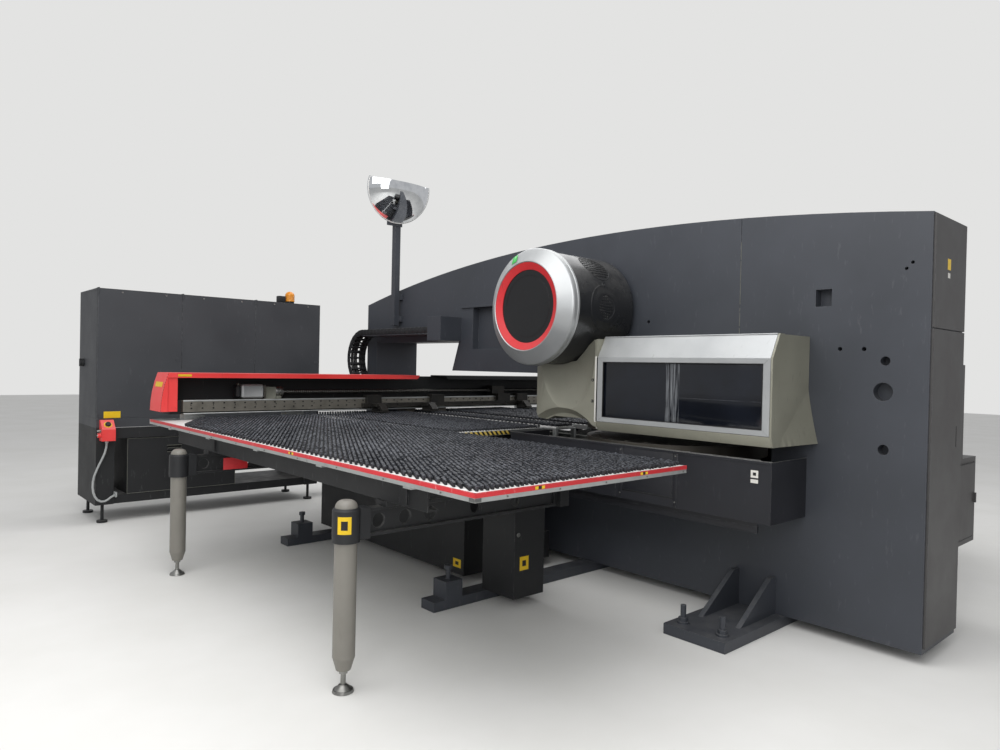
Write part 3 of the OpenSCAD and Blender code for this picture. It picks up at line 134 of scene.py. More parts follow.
def patches(tree, place, mm, low, high, to=1.0, detail=4, stretch=None, seed=0.0):
    # soft patches of about mm millimetres: 0 below low, up to `to` above high
    if stretch:
        place = addNode(tree, "Mapping", {"Scale": stretch, "Location": (seed, seed, seed)},
                        {"Vector": place}).outputs[0]
    noise = addNode(tree, "TexNoise", {"Scale": 1000 / mm, "Detail": detail, "Roughness": 0.6},
                    {"Vector": place})
    return remap(tree, noise.outputs[0], low, high, 0.0, to)


def softEdges(tree, mm):
    # a rounded corner in the shading, and a mask that is 1 along sharp edges
    bevel = addNode(tree, "Bevel", {"samples": 4, "Radius": mm / 1000})
    flat = addNode(tree, "NewGeometry").outputs["Normal"]
    dot = addNode(tree, "VectorMath", {"operation": "DOT_PRODUCT"}, {0: bevel.outputs[0], 1: flat})
    return bevel.outputs[0], remap(tree, dot.outputs["Value"], 0.995, 0.93)


def grain(tree, place, mm):
    return addNode(tree, "TexNoise", {"Scale": 1000 / mm, "Detail": 2}, {"Vector": place}).outputs[0]


def finishShader(tree, shader, colour, rough, relief, metallic=0.0, ior=1.5):
    # rough is (mask, smoothest, roughest), relief is (strength, distance, height, normal)
    mask, low, high = rough
    strength, distance, height, normal = relief
    bump = addNode(tree, "Bump", {"Strength": strength, "Distance": distance},
                   {"Height": height, "Normal": normal})
    setShader(tree, shader, {"Base Color": colour, "Roughness": remap(tree, mask, 0, 1, low, high),
                             "Normal": bump.outputs[0]}, {"Metallic": metallic, "IOR": ior})


def paintedSteel(name, look):
    # powder coat or wet paint on sheet steel: faint clouds, orange peel, a lighter layer on upward faces, bare corners;
    # the layer is dust on most coats and a painted sheen on the red coats
    material, tree, shader, place = startMaterial(name)
    worn = look.get("worn", "#7d7e80")
    clouds = patches(tree, place, look.get("cloudMm", 420), 0.35, 0.68)
    colour = blendColour(tree, clouds, look["colour"], look["shade"])
    normal, edge = softEdges(tree, look.get("edgeMm", 3))
    up = splitAxes(tree, addNode(tree, "NewGeometry").outputs["Normal"])["Z"]
    # upward faces blend towards the dust colour: grey dust on most coats, a painted pink sheen on the red coats
    dust = compute(tree, "MULTIPLY", up, patches(tree, place, 90, 0.25, 0.7, look.get("dust", 0.25)), clamp=True)
    colour = blendColour(tree, dust, colour, look.get("dustColour", "#8c8a86"))
    scuffs = patches(tree, place, 26, 0.62, 0.7, look.get("scuff", 0.35), 8, (1, 1, 0.25), 3.1)
    colour = blendColour(tree, scuffs, colour, worn)
    chipped = compute(tree, "MULTIPLY", edge, patches(tree, place, 30, 0.42, 0.6, look.get("wear", 0.5)))
    colour = blendColour(tree, chipped, colour, worn)
    finishShader(tree, shader, colour, (clouds, look["rough"], look["rough"] + 0.14),
                 (look.get("peel", 0.12), 0.0006, grain(tree, place, look.get("peelMm", 3)), normal),
                 look.get("metallic", 0.0))
    return material


def bareMetal(name, look):
    # steel or aluminium as machined, ground or drawn: fine lines along one axis, oil stains, bright corners
    material, tree, shader, place = startMaterial(name)
    lines = patches(tree, place, 2, 0.3, 0.7, 1, 3, (0.04, 1, 1))
    stains = patches(tree, place, 120, 0.45, 0.72, look.get("stain", 0.5))
    colour = blendColour(tree, lines, look["colour"], look["shade"])
    colour = blendColour(tree, stains, colour, look.get("oil", "#4a4640"))
    normal, edge = softEdges(tree, 1.5)
    colour = blendColour(tree, compute(tree, "MULTIPLY", edge, 0.5), colour, look.get("worn", "#d8d8d4"))
    finishShader(tree, shader, colour, (lines, look["rough"], look["rough"] + 0.2), (0.15, 0.0003, lines, normal),
                 look.get("metallic", 1.0))
    return material


def mouldedPlastic(name, look):
    # injection moulded or cast plastic with a fine spark-eroded grain
    material, tree, shader, place = startMaterial(name)
    clouds = patches(tree, place, 160, 0.35, 0.7)
    colour = blendColour(tree, clouds, look["colour"], look["shade"])
    normal, edge = softEdges(tree, 2)
    rub = compute(tree, "MULTIPLY", edge, patches(tree, place, 25, 0.4, 0.65, look.get("wear", 0.25)))
    colour = blendColour(tree, rub, colour, "#8a8a8a")
    finishShader(tree, shader, colour, (clouds, look["rough"], look["rough"] + 0.12),
                 (look.get("grain", 0.15), 0.0003, grain(tree, place, look.get("grainMm", 1.2)), normal), ior=1.46)
    return material


def bristleFibre(name, look):
    # nylon bristle bundles: black at the root, greyer at the cut ends as a painted highlight where the tips catch the
    # light, dusty there where sheets have rubbed, with lint caught here and there
    material, tree, shader, place = startMaterial(name)
    ends = remap(tree, splitAxes(tree, place)["Z"], look["root"], look["tip"])
    # lighter cut ends: a painted highlight on the bristle tips
    tips = compute(tree, "MULTIPLY", ends, patches(tree, place, 9, 0.4, 0.62, 1, 3))
    colour = blendColour(tree, tips, look["colour"], look["shade"])
    worked = patches(tree, place, 900, 0.48, 0.66, 0.5, 5, (1, 0.6, 1), 4.7)  # grey where sheets have rubbed
    colour = blendColour(tree, compute(tree, "MULTIPLY", worked, tips), colour, look["dust"])
    lint = compute(tree, "MULTIPLY", patches(tree, place, 14, 0.69, 0.72, 0.8, 6), ends)
    colour = blendColour(tree, lint, colour, look["lint"])
    setShader(tree, shader, {"Base Color": colour}, {"Roughness": look["rough"], "IOR": 1.53})
    return material


def smokedGlass(name, look):
    material, tree, shader, place = startMaterial(name)
    haze = patches(tree, place, 260, 0.3, 0.75)
    colour = blendColour(tree, haze, look["colour"], look["shade"])
    axes = splitAxes(tree, place)
    # rubbed upright streaks where the two panes slide past each other
    lap = compute(tree, "COMPARE", axes["Y"], *look["lap"])
    streaks = patches(tree, place, 8, 0.44, 0.66, 0.75, 6, (1, 1, 0.035), 2.0)
    colour = blendColour(tree, compute(tree, "MULTIPLY", lap, streaks), colour, "#8d9094")
    # one long scratch across the nearer pane
    scratch = compute(tree, "COMPARE", axes["Z"], *look["scratch"])
    line = compute(tree, "MULTIPLY", scratch, compute(tree, "LESS_THAN", axes["Y"], look["nearPane"]))
    line = compute(tree, "MULTIPLY", line, patches(tree, place, 90, 0.35, 0.6, 0.5))
    colour = blendColour(tree, line, colour, "#6d7076")
    rough = remap(tree, haze, 0, 1, look["rough"], look["rough"] + 0.1)
    setShader(tree, shader, {"Base Color": colour, "Roughness": rough}, {"Alpha": 0.97})
    return material


def silveredAcrylic(name, look):
    material, tree, shader, place = startMaterial(name)
    haze = patches(tree, place, 60, 0.4, 0.8)
    colour = blendColour(tree, haze, look["colour"], look["shade"])
    rough = remap(tree, haze, 0, 1, look["rough"], look["rough"] + 0.09)
    setShader(tree, shader, {"Base Color": colour, "Roughness": rough}, {"Metallic": 1.0})
    return material


def hazardTape(name, look):
    # slanted bars, worn between them
    material, tree, shader, place = startMaterial(name)
    axes = splitAxes(tree, place)
    slant = compute(tree, "MULTIPLY_ADD", axes["Z"], 0.8, axes["X"])
    part = compute(tree, "FRACT", compute(tree, "MULTIPLY", slant, 1000 / look["pairMm"]))
    worn = blendColour(tree, patches(tree, place, 30, 0.5, 0.72, 0.6), look["colour"], look["shade"])
    colour = blendColour(tree, compute(tree, "GREATER_THAN", part, 0.5), worn, "#1b1b1a")
    setShader(tree, shader, {"Base Color": colour}, {"Roughness": look["rough"]})
    return material


# finishes, each named for the real one: maker, name, colour, shade, roughness and what sets it apart
finishRows = {
    "brushFibre": (bristleFibre, "nylonBristle", "#101114", "#4c4f57", 0.62,
                   {"dust": "#888b93", "lint": "#c9c7c0", "root": 1.0215, "tip": 1.0435}),
    # white high density polyethylene board under the tufts, sawn edges a little grey
    "whiteBoard": (mouldedPlastic, "whitePolyethylene", "#dedddb", "#cfcecb", 0.5, {"grainMm": 2}),
    # red vinyl tape, scuffed by sheet edges
    "redTape": (paintedSteel, "redVinylTape", "#c2262d", "#cf3038", 0.38,
                {"peel": 0.05, "scuff": 0.5, "worn": "#d9a7a4", "wear": 0.6, "dust": 0.2, "edgeMm": 1.5}),
    "darkAluminium": (bareMetal, "brushedAluminium", "#7d8080", "#8f9292", 0.42, {}),
    # plain vinyl patches, left without words or signs
    "yellowVinyl": (mouldedPlastic, "yellowVinylPatch", "#e8c21e", "#dcb61c", 0.35, {"wear": 0.1}),
    "blackVinyl": (mouldedPlastic, "blackVinylPatch", "#141414", "#1b1b1b", 0.35, {"wear": 0.1}),
    "greenVinyl": (mouldedPlastic, "greenVinylPatch", "#43b254", "#3aa54b", 0.35, {"wear": 0.1}),
    "hazardTape": (hazardTape, "hazardVinylTape", "#d9bd55", "#b9ad86", 0.45, {"pairMm": 44}),
    "paleGasket": (mouldedPlastic, "paleRubberSeal", "#d7d5cf", "#c9c7c1", 0.55, {}),
    "castBracket": (paintedSteel, "greyGreenCastPaint", "#6f7066", "#7c7d72", 0.45, {"scuff": 0.3}),
    "cableJacket": (mouldedPlastic, "blackPolyurethaneJacket", "#131415", "#1b1c1e", 0.42, {}),
    "blackRubber": (mouldedPlastic, "blackRubberSeal", "#0f0f10", "#161617", 0.6, {}),
    # satin charcoal powder coat: broad soft reflections, blue-grey where the hall lights it
    "frameCoat": (paintedSteel, "charcoalPowderCoat", "#35383e", "#3c3f46", 0.42,
                  {"peelMm": 4, "cloudMm": 700, "dust": 0.2, "scuff": 0.12, "wear": 0.5}),
    "endCoat": (paintedSteel, "darkSatinCoat", "#3a3939", "#413f3f", 0.45, {"scuff": 0.1}),
    # near-black textured coat of the machine's base
    "baseCoat": (paintedSteel, "blackTexturedCoat", "#141517", "#1b1c1e", 0.55,
                 {"peelMm": 2.5, "peel": 0.3, "dust": 0.4, "scuff": 0.12}),
    "boxCoat": (paintedSteel, "blueBlackSatinCoat", "#1a1b20", "#1f2026", 0.42,
                {"dust": 0.2, "scuff": 0.05, "wear": 0.6, "edgeMm": 2}),
    # deep glossy charcoal of the drum cover, the lamps show as a long highlight along its top
    "drumCoat": (paintedSteel, "glossCharcoalLacquer", "#1d1e20", "#232427", 0.2,
                 {"peel": 0.05, "peelMm": 8, "dust": 0.3, "scuff": 0.04, "wear": 0.2}),
    "champagneCoat": (paintedSteel, "champagneMetallicLacquer", "#88877a", "#939285", 0.36,
                      {"metallic": 0.35, "worn": "#6f6a63", "dust": 0.1}),
    "silverCoat": (paintedSteel, "silverLacquer", "#a9abac", "#b6b8b8", 0.3,
                   {"metallic": 0.5, "worn": "#8f8f8d", "dust": 0.1}),
    # the pink on its upward faces, on the lower part of the drum's cone, is a painted sheen
    "redCoat": (paintedSteel, "signalRedEnamel", "#c8262c", "#d23137", 0.32,
                {"worn": "#7b2023", "dust": 0.25, "dustColour": "#c98f8c"}),
    # the beam's cover is painted a lighter red than the drum's cone as a painted highlight, and pink on its upward
    # faces as a painted sheen
    "coverCoat": (paintedSteel, "signalRedPowderCoat", "#e23a39", "#ea4746", 0.34,
                  {"worn": "#8f2a2a", "dust": 0.5, "dustColour": "#e29a95", "scuff": 0.2}),
    "greyLegCoat": (paintedSteel, "warmGreyLacquer", "#75726b", "#807d76", 0.36, {"worn": "#6a665f", "dust": 0.2}),
    "cabinetCoat": (paintedSteel, "fineTextureCoat", "#36383c", "#3c3e42", 0.5,
                    {"peelMm": 2.2, "peel": 0.3, "scuff": 0.1}),
    "glossBlack": (mouldedPlastic, "glossBlackAcrylic", "#0d0d0f", "#111113", 0.12, {"grain": 0.02, "wear": 0.0}),
    "blackMoulding": (mouldedPlastic, "blackGlassFilledNylon", "#1b1c1e", "#232427", 0.5, {}),
    "amberLens": (mouldedPlastic, "amberPolycarbonate", "#d9861f", "#e09a35", 0.2, {}),
    "greyConduit": (mouldedPlastic, "greyPvc", "#9fa2a1", "#acaeae", 0.4, {}),
    "groundSteel": (bareMetal, "groundSteel", "#8f8f8c", "#a3a3a0", 0.3, {}),
    "oiledSteel": (bareMetal, "oiledCastSteel", "#5b5751", "#68645d", 0.42, {"metallic": 0.8}),
    "guideSteel": (bareMetal, "groundGuideSteel", "#8a867d", "#9a968c", 0.4, {"metallic": 0.85, "stain": 0.35}),
    "darkScrewSteel": (bareMetal, "oiledScrewSteel", "#4b4a48", "#585754", 0.32, {}),
    "screwSteel": (bareMetal, "hardenedScrewSteel", "#6d6d6a", "#7b7b78", 0.28, {}),
    "blackOxide": (bareMetal, "blackOxideSteel", "#2d2c2b", "#383735", 0.4, {"metallic": 0.7, "worn": "#8c8c88"}),
    "millAluminium": (bareMetal, "millAluminium", "#b9bcbb", "#c8cac9", 0.38, {"oil": "#8a8c8b", "stain": 0.3}),
    # smoked safety glass: the lap of the panes (middle and half width in y), the scratch (height and half width)
    "windowGlass": (smokedGlass, "smokedSafetyGlass", "#0b0d12", "#151922", 0.06,
                    {"lap": (-0.99, 0.052), "scratch": (1.338, 0.0011), "nearPane": -1.045}),
    "mirrorFace": (silveredAcrylic, "silveredAcrylic", "#e4e6e8", "#c9ccd0", 0.03, {}),
}
finishes = {key: maker(name, {"colour": colour, "shade": shade, "rough": rough, **more})
            for key, (maker, name, colour, shade, rough, more) in finishRows.items()}

nodeFinish = {
    "frameCoat": ["bridge_frame", "frame_feet", "mirror_pole", "chain_tray"],
    "drumCoat": ["drum_housing"],
    "boxCoat": ["lower_box_left", "lower_box_right"],
    "coverCoat": ["beam_top_cover", "beam_end_caps", "estop_box"],
    "guideSteel": ["x_guide_bar"],
    "endCoat": ["end_cover", "service_cabinet", "guard_right"],
    "baseCoat": ["pedestals", "support_arms", "table_rails", "cabinet_plinth", "x_beam"],
    "champagneCoat": ["ram_shroud", "guard_housing"],
    "silverCoat": ["drum_ring", "guard_door", "x_motor"],
    "redCoat": ["drum_inner_ring"],
    "glossBlack": ["drum_disc"],
    "groundSteel": ["turret_spindles", "striker", "y_rails", "leg_feet"],
    "screwSteel": ["x_screw", "y_screw"],
    "oiledSteel": ["ram_drive", "carriage_saddle", "y_motor", "turret_upper", "turret_lower"],
    "blackOxide": ["x_slide", "clamp_bodies", "clamp_jaw_1", "clamp_jaw_2", "clamp_jaw_3"],
    "millAluminium": ["centre_table", "side_table_left", "side_table_right"],
    "greyLegCoat": ["leg_tubes"],
    "blackMoulding": ["arm_collars", "energy_chain", "isolator_knob", "estop_button", "side_brushes", "centre_brushes"],
    "cabinetCoat": ["cabinet_body", "cabinet_door_1", "cabinet_door_2", "cabinet_door_3"],
    "amberLens": ["beacon_lamp"],
    "greyConduit": ["conduit"],
    "windowGlass": ["guard_glass"],
    "mirrorFace": ["mirror_dome"],
}


def dress(piece, material):
    piece.data.materials.clear()
    piece.data.materials.append(material)


for finish, names in nodeFinish.items():
    for name in names:
        dress(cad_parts[name], finishes[finish])
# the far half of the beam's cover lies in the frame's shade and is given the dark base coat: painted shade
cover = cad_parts["beam_top_cover"].data
cover.materials.append(finishes["baseCoat"])
for face in cover.polygons:
    face.material_index = int(face.center.x > 0)
print("finishes made")


# studio: pale floor, soft lamps overhead and from the camera's side
studio = {
    "floor": ("#e9e8e5", "#e2e1dd"),
    "background": "#e3e3e2",
    "worldStrength": 0.62,
    "lamps": [  # place, aim, size, watts
        ((-3.5, -1.0, 5.2), (-0.5, 0.0, 1.0), 5.0, 210),
        ((1.5, 2.5, 5.6), (0, 1.0, 1.0), 5.5, 160),
        ((-6.5, -5.0, 3.4), (-0.5, 0.2, 1.2), 3.5, 130),
    ],
}


def buildStudio(studio):
    bpy.ops.object.select_all(action="DESELECT")
    bpy.ops.mesh.primitive_plane_add(size=60, location=(0, 0, -0.001))
    floor = bpy.context.object
    floor.name = "studioFloor"
    bpy.ops.object.transform_apply(location=True, rotation=True, scale=True)
    material, tree, shader, place = startMaterial("sealedConcrete")
    clouds = patches(tree, place, 900, 0.3, 0.7)
    setShader(tree, shader, {"Base Color": blendColour(tree, clouds, *studio["floor"])}, {"Roughness": 0.75})
    dress(floor, material)
    world = bpy.data.worlds.new("studio")
    scene.world = world
    world.use_nodes = True
    tree = world.node_tree
    tree.nodes.clear()
    path = addNode(tree, "LightPath").outputs
    seen = compute(tree, "MAXIMUM", path["Is Camera Ray"], path["Is Transmission Ray"])
    lit = addNode(tree, "Background", {"Color": linear("#f2f3f5"), "Strength": studio["worldStrength"]})
    shown = addNode(tree, "Background", {"Color": linear(studio["background"]), "Strength": 1.0})
    both = addNode(tree, "MixShader", links={0: seen, 1: lit.outputs[0], 2: shown.outputs[0]})
    addNode(tree, "OutputWorld", links={"Surface": both.outputs[0]})
    for place, aim, size, watts in studio["lamps"]:
        lamp = bpy.data.lights.new("softLamp", "AREA")
        lamp.shape, lamp.size, lamp.energy = "SQUARE", size, watts
        holder = bpy.data.objects.new("softLamp", lamp)
        holder.location = place
        holder.rotation_euler = (Vector(aim) - Vector(place)).to_track_quat("-Z", "Y").to_euler()
        scene.collection.objects.link(holder)


buildStudio(studio)
print("studio lit")

# modelling helpers: everything is deselected before an operator, faces and edges are picked in code

def deselectAll():
    if bpy.context.object and bpy.context.object.mode != "OBJECT":
        bpy.ops.object.mode_set(mode="OBJECT")
    bpy.ops.object.select_all(action="DESELECT")


def focus(piece):
    deselectAll()
    piece.select_set(True)
    bpy.context.view_layer.objects.active = piece


def settle(piece, name):
    focus(piece)
    piece.name = name
    bpy.ops.object.transform_apply(location=True, rotation=True, scale=True)
    return piece


def pick(piece, mode, test):
    # goes into edit mode with the faces or edges selected that pass a test on their middle and direction
    focus(piece)
    bpy.ops.object.mode_set(mode="EDIT")
    bpy.ops.mesh.select_mode(type=mode)
    bpy.ops.mesh.select_all(action="DESELECT")
    bpy.ops.object.mode_set(mode="OBJECT")
    mesh = piece.data
    if mode == "FACE":
        for face in mesh.polygons:
            face.select = bool(test(face.center, face.normal))
    else:
        for edge in mesh.edges:
            a, b = (mesh.vertices[i].co for i in edge.vertices)
            edge.select = bool(test((a + b) / 2, (b - a).normalized()))
    bpy.ops.object.mode_set(mode="EDIT")


def leaveEdit():
    bpy.ops.object.mode_set(mode="OBJECT")


def leaveOutwards():
    bpy.ops.mesh.select_all(action="SELECT")
    bpy.ops.mesh.normals_make_consistent(inside=False)
    leaveEdit()


def everything(middle, way):
    return True


def turnOutwards(piece):
    pick(piece, "FACE", everything)
    leaveOutwards()
    return piece


def bevelEdges(piece, width, steps, test):
    pick(piece, "EDGE", test)
    bpy.ops.mesh.bevel(offset=width, segments=steps, affect="EDGES", clamp_overlap=True)
    leaveEdit()
    return piece


def block(name, low, high, corner=0.0015, steps=2):
    # folded or milled box with rounded edges
    deselectAll()
    size = [b - a for a, b in zip(low, high)]
    bpy.ops.mesh.primitive_cube_add(size=1, location=[(a + b) / 2 for a, b in zip(low, high)], scale=size)
    return bevelEdges(settle(bpy.context.object, name), corner, steps, everything)


def rod(name, start, end, radius, sides=32, corner=0.001, endRadius=None):
    # turned bar or cone between two points, its rims broken
    deselectAll()
    start, end = Vector(start), Vector(end)
    along = (end - start).normalized()
    turn = (end - start).to_track_quat("Z", "Y").to_euler()
    bpy.ops.mesh.primitive_cone_add(vertices=sides, radius1=radius, radius2=radius if endRadius is None else endRadius,
                                    depth=(end - start).length, location=(start + end) / 2, rotation=turn)
    return bevelEdges(settle(bpy.context.object, name), corner, 2, lambda middle, way: abs(way.dot(along)) < 0.3)


def drawPath(points):
    # one vertex, extruded from point to point; stays in edit mode with all of it selected
    deselectAll()
    bpy.ops.mesh.primitive_plane_add(size=0.01)
    piece = bpy.context.object
    bpy.ops.object.mode_set(mode="EDIT")
    bpy.ops.mesh.select_mode(type="VERT")
    bpy.ops.mesh.select_all(action="SELECT")
    bpy.ops.mesh.merge(type="CENTER")
    bpy.ops.transform.translate(value=points[0])
    for a, b in zip(points, points[1:]):
        bpy.ops.mesh.extrude_region_move(TRANSFORM_OT_translate={"value": [q - p for p, q in zip(a, b)]})
    bpy.ops.mesh.select_all(action="SELECT")
    return piece


def lathe(name, outline, place, along, sides=48):
    # outline gives (radius, distance along the axis), and is spun round it
    piece = drawPath([(r, 0, d) for r, d in outline])
    bpy.ops.mesh.spin(steps=sides, angle=2 * math.pi, center=(0, 0, 0), axis=(0, 0, 1))
    bpy.ops.mesh.select_all(action="SELECT")
    bpy.ops.mesh.remove_doubles(threshold=0.00001)
    leaveOutwards()
    piece.matrix_world = Matrix.Translation(place) @ Vector(along).to_track_quat("Z", "Y").to_matrix().to_4x4()
    return settle(piece, name)


def extrudeOutline(name, outline, x0, x1):
    # outline gives (y, z), drawn closed and pushed from x0 to x1
    piece = drawPath([(x0, y, z) for y, z in outline])
    bpy.ops.mesh.edge_face_add()
    bpy.ops.mesh.extrude_region_move(TRANSFORM_OT_translate={"value": (x1 - x0, 0, 0)})
    leaveOutwards()
    return settle(piece, name)


def applyAll(piece):
    focus(piece)
    for modifier in list(piece.modifiers):
        bpy.ops.object.modifier_apply(modifier=modifier.name)
    return piece


def cutBy(piece, tool):
    cutter = piece.modifiers.new("cut", "BOOLEAN")
    cutter.operation, cutter.solver, cutter.object = "DIFFERENCE", "EXACT", tool
    applyAll(piece)
    bpy.data.objects.remove(tool)


def foldedStrip(name, path, y0, y1, thick):
    # sheet folded along a path of (x, z) points
    strip = drawPath([(x, y0, z) for x, z in path])
    bpy.ops.mesh.extrude_region_move(TRANSFORM_OT_translate={"value": (0, y1 - y0, 0)})
    leaveEdit()
    solid = strip.modifiers.new("sheet", "SOLIDIFY")
    solid.thickness, solid.offset, solid.use_even_offset = thick, 1, True
    fold = strip.modifiers.new("fold", "BEVEL")
    fold.width, fold.segments = thick * 0.8, 2
    return settle(applyAll(strip), name)


def tube(name, points, radius, sides=3, radii=None):
    # round cable or wire through points, as a mesh
    deselectAll()
    curve = bpy.data.curves.new(name, "CURVE")
    curve.dimensions, curve.bevel_depth, curve.bevel_resolution = "3D", radius, sides
    curve.use_fill_caps = True
    spline = curve.splines.new("POLY")
    spline.points.add(len(points) - 1)
    for i, point in enumerate(points):
        spline.points[i].co = (*point, 1)
        spline.points[i].radius = radii[i] if radii else 1
    piece = bpy.data.objects.new(name, curve)
    scene.collection.objects.link(piece)
    focus(piece)
    bpy.ops.object.convert(target="MESH")
    return settle(bpy.context.object, name)


def copyTo(piece, places, name, vary=None):
    # one modelled piece repeated at each offset with its own vertices; vary may move the points of each copy
    source = piece.data
    count = len(source.vertices)
    points = np.empty(count * 3)
    source.vertices.foreach_get("co", points)
    offsets = np.array(places, dtype=float).reshape(-1, 1, 3)
    spread = np.repeat(points.reshape(1, -1, 3), len(offsets), axis=0)
    if vary:
        spread = vary(spread)
    faces = [tuple(face.vertices) for face in source.polygons]
    allFaces = [tuple(v + k * count for v in face) for k in range(len(offsets)) for face in faces]
    mesh = bpy.data.meshes.new(name)
    mesh.from_pydata((spread + offsets).reshape(-1, 3).tolist(), [], allFaces)
    result = bpy.data.objects.new(name, mesh)
    scene.collection.objects.link(result)
    bpy.data.objects.remove(piece)
    return result


def joined(name, pieces):
    deselectAll()
    for piece in pieces:
        piece.select_set(True)
    bpy.context.view_layer.objects.active = pieces[0]
    bpy.ops.object.join()
    pieces[0].name = name
    return pieces[0]


def bothSides(name, piece):
    # the piece and its twin on the other side of the frame, as one
    focus(piece)
    bpy.ops.object.duplicate()
    twin = bpy.context.object
    twin.scale = (-1, 1, 1)
    return joined(name, [piece, turnOutwards(settle(twin, name + "Right"))])


def smooth(piece, finish, angle):
    dress(piece, finishes[finish])
    focus(piece)
    bpy.ops.object.shade_smooth_by_angle(angle=math.radians(angle))


def place(piece, finish, slot, body="machine", angle=35):
    smooth(piece, finish, angle)
    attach(piece, body)
    return piece


def boxes(name, rows, *corner):
    # a row is (x0, y0, z0, x1, y1, z1), with a corner radius and bevel steps of its own where they differ
    return [block(name, row[:3], row[3:6], *(row[6:] or corner)) for row in rows]


def shape(name, look):
    # a piece put together from rows of blocks, rods and lathes, then pressed in on its -Y faces and mirrored
    parts = boxes(name, look.get("boxes", []), *look.get("corner", ()))
    parts += [rod(name, *row) for row in look.get("rods", [])]
    parts += [lathe(name, look["outline"], at, *look["spin"]) for at in look.get("at", [])]
    piece = joined(name, parts)
    if "recess" in look:
        thickness, depth = look["recess"]
        pick(piece, "FACE", lambda middle, way: way.y < -0.95)
        bpy.ops.mesh.inset(thickness=thickness, depth=depth)
        leaveEdit()
    return bothSides(name, piece) if look.get("twin") else piece


def make(name, look):
    # coat holds the finish and a slot name
    return place(shape(name, look), *look["coat"], look.get("body", "machine"), look.get("angle", 35))


def makeAll(looks):
    for name, look in looks.items():
        make(name, look)


def screws(name, places, axis, radius=0.006, finish="screwSteel", body="machine", slot="machined_steel"):
    # cap screws with a socket, heads outwards along the axis
    along = Vector(axis).normalized()
    head = rod(name, along * -0.002, along * radius * 0.9, radius, 20, 0.0006)
    pick(head, "FACE", lambda middle, way: way.dot(along) > 0.9 and middle.dot(along) > radius * 0.6)
    bpy.ops.mesh.inset(thickness=radius * 0.45, depth=0)
    bpy.ops.transform.translate(value=along * -radius * 0.5)
    leaveEdit()
    return place(copyTo(head, places, name), finish, slot, body)


# brush tables: white board with slanted rows of flared black tufts, red band over an aluminium channel
brushTable = {
    "row": 0.0235,
    "along": 0.018,
    "slant": 28,  # degrees between the rows and the frame's length
    "board": (1.0081, 1.0208),
    "inset": 0.0125,
    "tips": 1.0435,
    "tuft": (0.0062, 0.0092),  # radius at the root and at the tip
    "splay": (0.8, 1.08),
    "lean": 0.0013,
    "uneven": 0.005,
    "border": 0.022,
    "bare": 0.62,
    "mat": 0.062,  # dusty bristle stubs hide the board everywhere but along its edges
    "matStep": (0.36, 0.66),
    "matLift": 0.0008,
    "side": ((-2.617, -1.465), (-1.22, 2.46)),
    "centre": ((-1.2, 0.5), (-0.2615, 2.64)),
    "strip": ((-0.12, 0.5), (0.12, 2.64)),
}


def tuftPlaces(low, high, table):
    slant = math.radians(table["slant"])
    rowWay = np.array([math.sin(slant), math.cos(slant)])
    stepWay = np.array([math.cos(slant), -math.sin(slant)])
    reach = math.hypot(high[0] - low[0], high[1] - low[1])
    rows, stops = np.meshgrid(np.arange(-reach, reach, table["row"]), np.arange(-reach, reach, table["along"]))
    flat = rows.reshape(-1, 1) * stepWay + stops.reshape(-1, 1) * rowWay + np.array(low)
    inside = np.all((flat > np.array(low) + table["border"]) & (flat < np.array(high) - table["border"]), axis=1)
    if low == table["side"][0]:  # the far outer corner of the left table is bare board, cut off along a row
        inside &= flat[:, 0] - low[0] > math.tan(slant) * (flat[:, 1] - high[1] + table["bare"])
    return [(x, y, 0) for x, y in flat[inside]]


def tuftField(name, area, table, body, seed):
    rng = np.random.default_rng(seed)
    base, tip = table["board"][1] - 0.0005, table["tips"]
    deselectAll()
    bpy.ops.mesh.primitive_cone_add(vertices=5, radius1=table["tuft"][0], radius2=table["tuft"][1], depth=tip - base,
                                    location=(0, 0, (base + tip) / 2))
    tuft = settle(bpy.context.object, name)
    pick(tuft, "FACE", lambda middle, way: way.z < -0.9)
    bpy.ops.mesh.delete(type="FACE")
    leaveEdit()

    def vary(spread):
        # each tuft is splayed, leans and ends a little differently
        count, upper = len(spread), spread[:, :, 2] > (base + tip) / 2
        splay = rng.uniform(*table["splay"], (count, spread.shape[1], 1))
        spread[:, :, :2] *= np.where(upper[:, :, None], splay, 1)
        spread[:, :, :2] += upper[:, :, None] * rng.uniform(-table["lean"], table["lean"], (count, 1, 2))
        spread[:, :, 2] -= upper * rng.uniform(0, table["uneven"], (count, spread.shape[1]))
        return spread

    return place(copyTo(tuft, tuftPlaces(*area, table), name, vary), "brushFibre", "brush_fibre", body, 10)


def buildTable(name, area, table, body, seed):
    (x0, y0), (x1, y1) = area
    inset, edge, (bottom, top), (step, back) = table["inset"], table["mat"], table["board"], table["matStep"]
    board = block(name + "Board", (x0 + inset, y0 + inset, bottom), (x1 - inset, y1, top), 0.001)
    place(board, "whiteBoard", "table_metal", body)
    low, high = top - 0.001, top + table["matLift"]
    mats = [(x0 + edge, y0 + edge, low, x1 - edge, y1 - back, high),
            (x0 + step, y1 - back, low, x1 - edge, y1 - edge, high)]
    if x1 - x0 < 2 * step:  # the throat's strip has no back corner
        mats.pop()
    place(joined(name + "Mat", boxes(name + "Mat", mats, 0.0004, 1)), "blackRubber", "brush_fibre", body)
    return tuftField(name + "Tufts", area, table, body, seed)


def flipArea(area):
    (x0, y0), (x1, y1) = area
    return (-x1, y0), (-x0, y1)


side, centre = brushTable["side"], brushTable["centre"]
sideTufts = buildTable("sideLeft", side, brushTable, "y_carriage", 11)
buildTable("sideRight", flipArea(side), brushTable, "y_carriage", 12)
centreTufts = buildTable("centreLeft", centre, brushTable, "machine", 21)
buildTable("centreRight", flipArea(centre), brushTable, "machine", 22)
buildTable("throatStrip", brushTable["strip"], brushTable, "machine", 23)
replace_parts(sideTufts, "side_brushes")
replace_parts(centreTufts, "centre_brushes")
print("brush tables made")

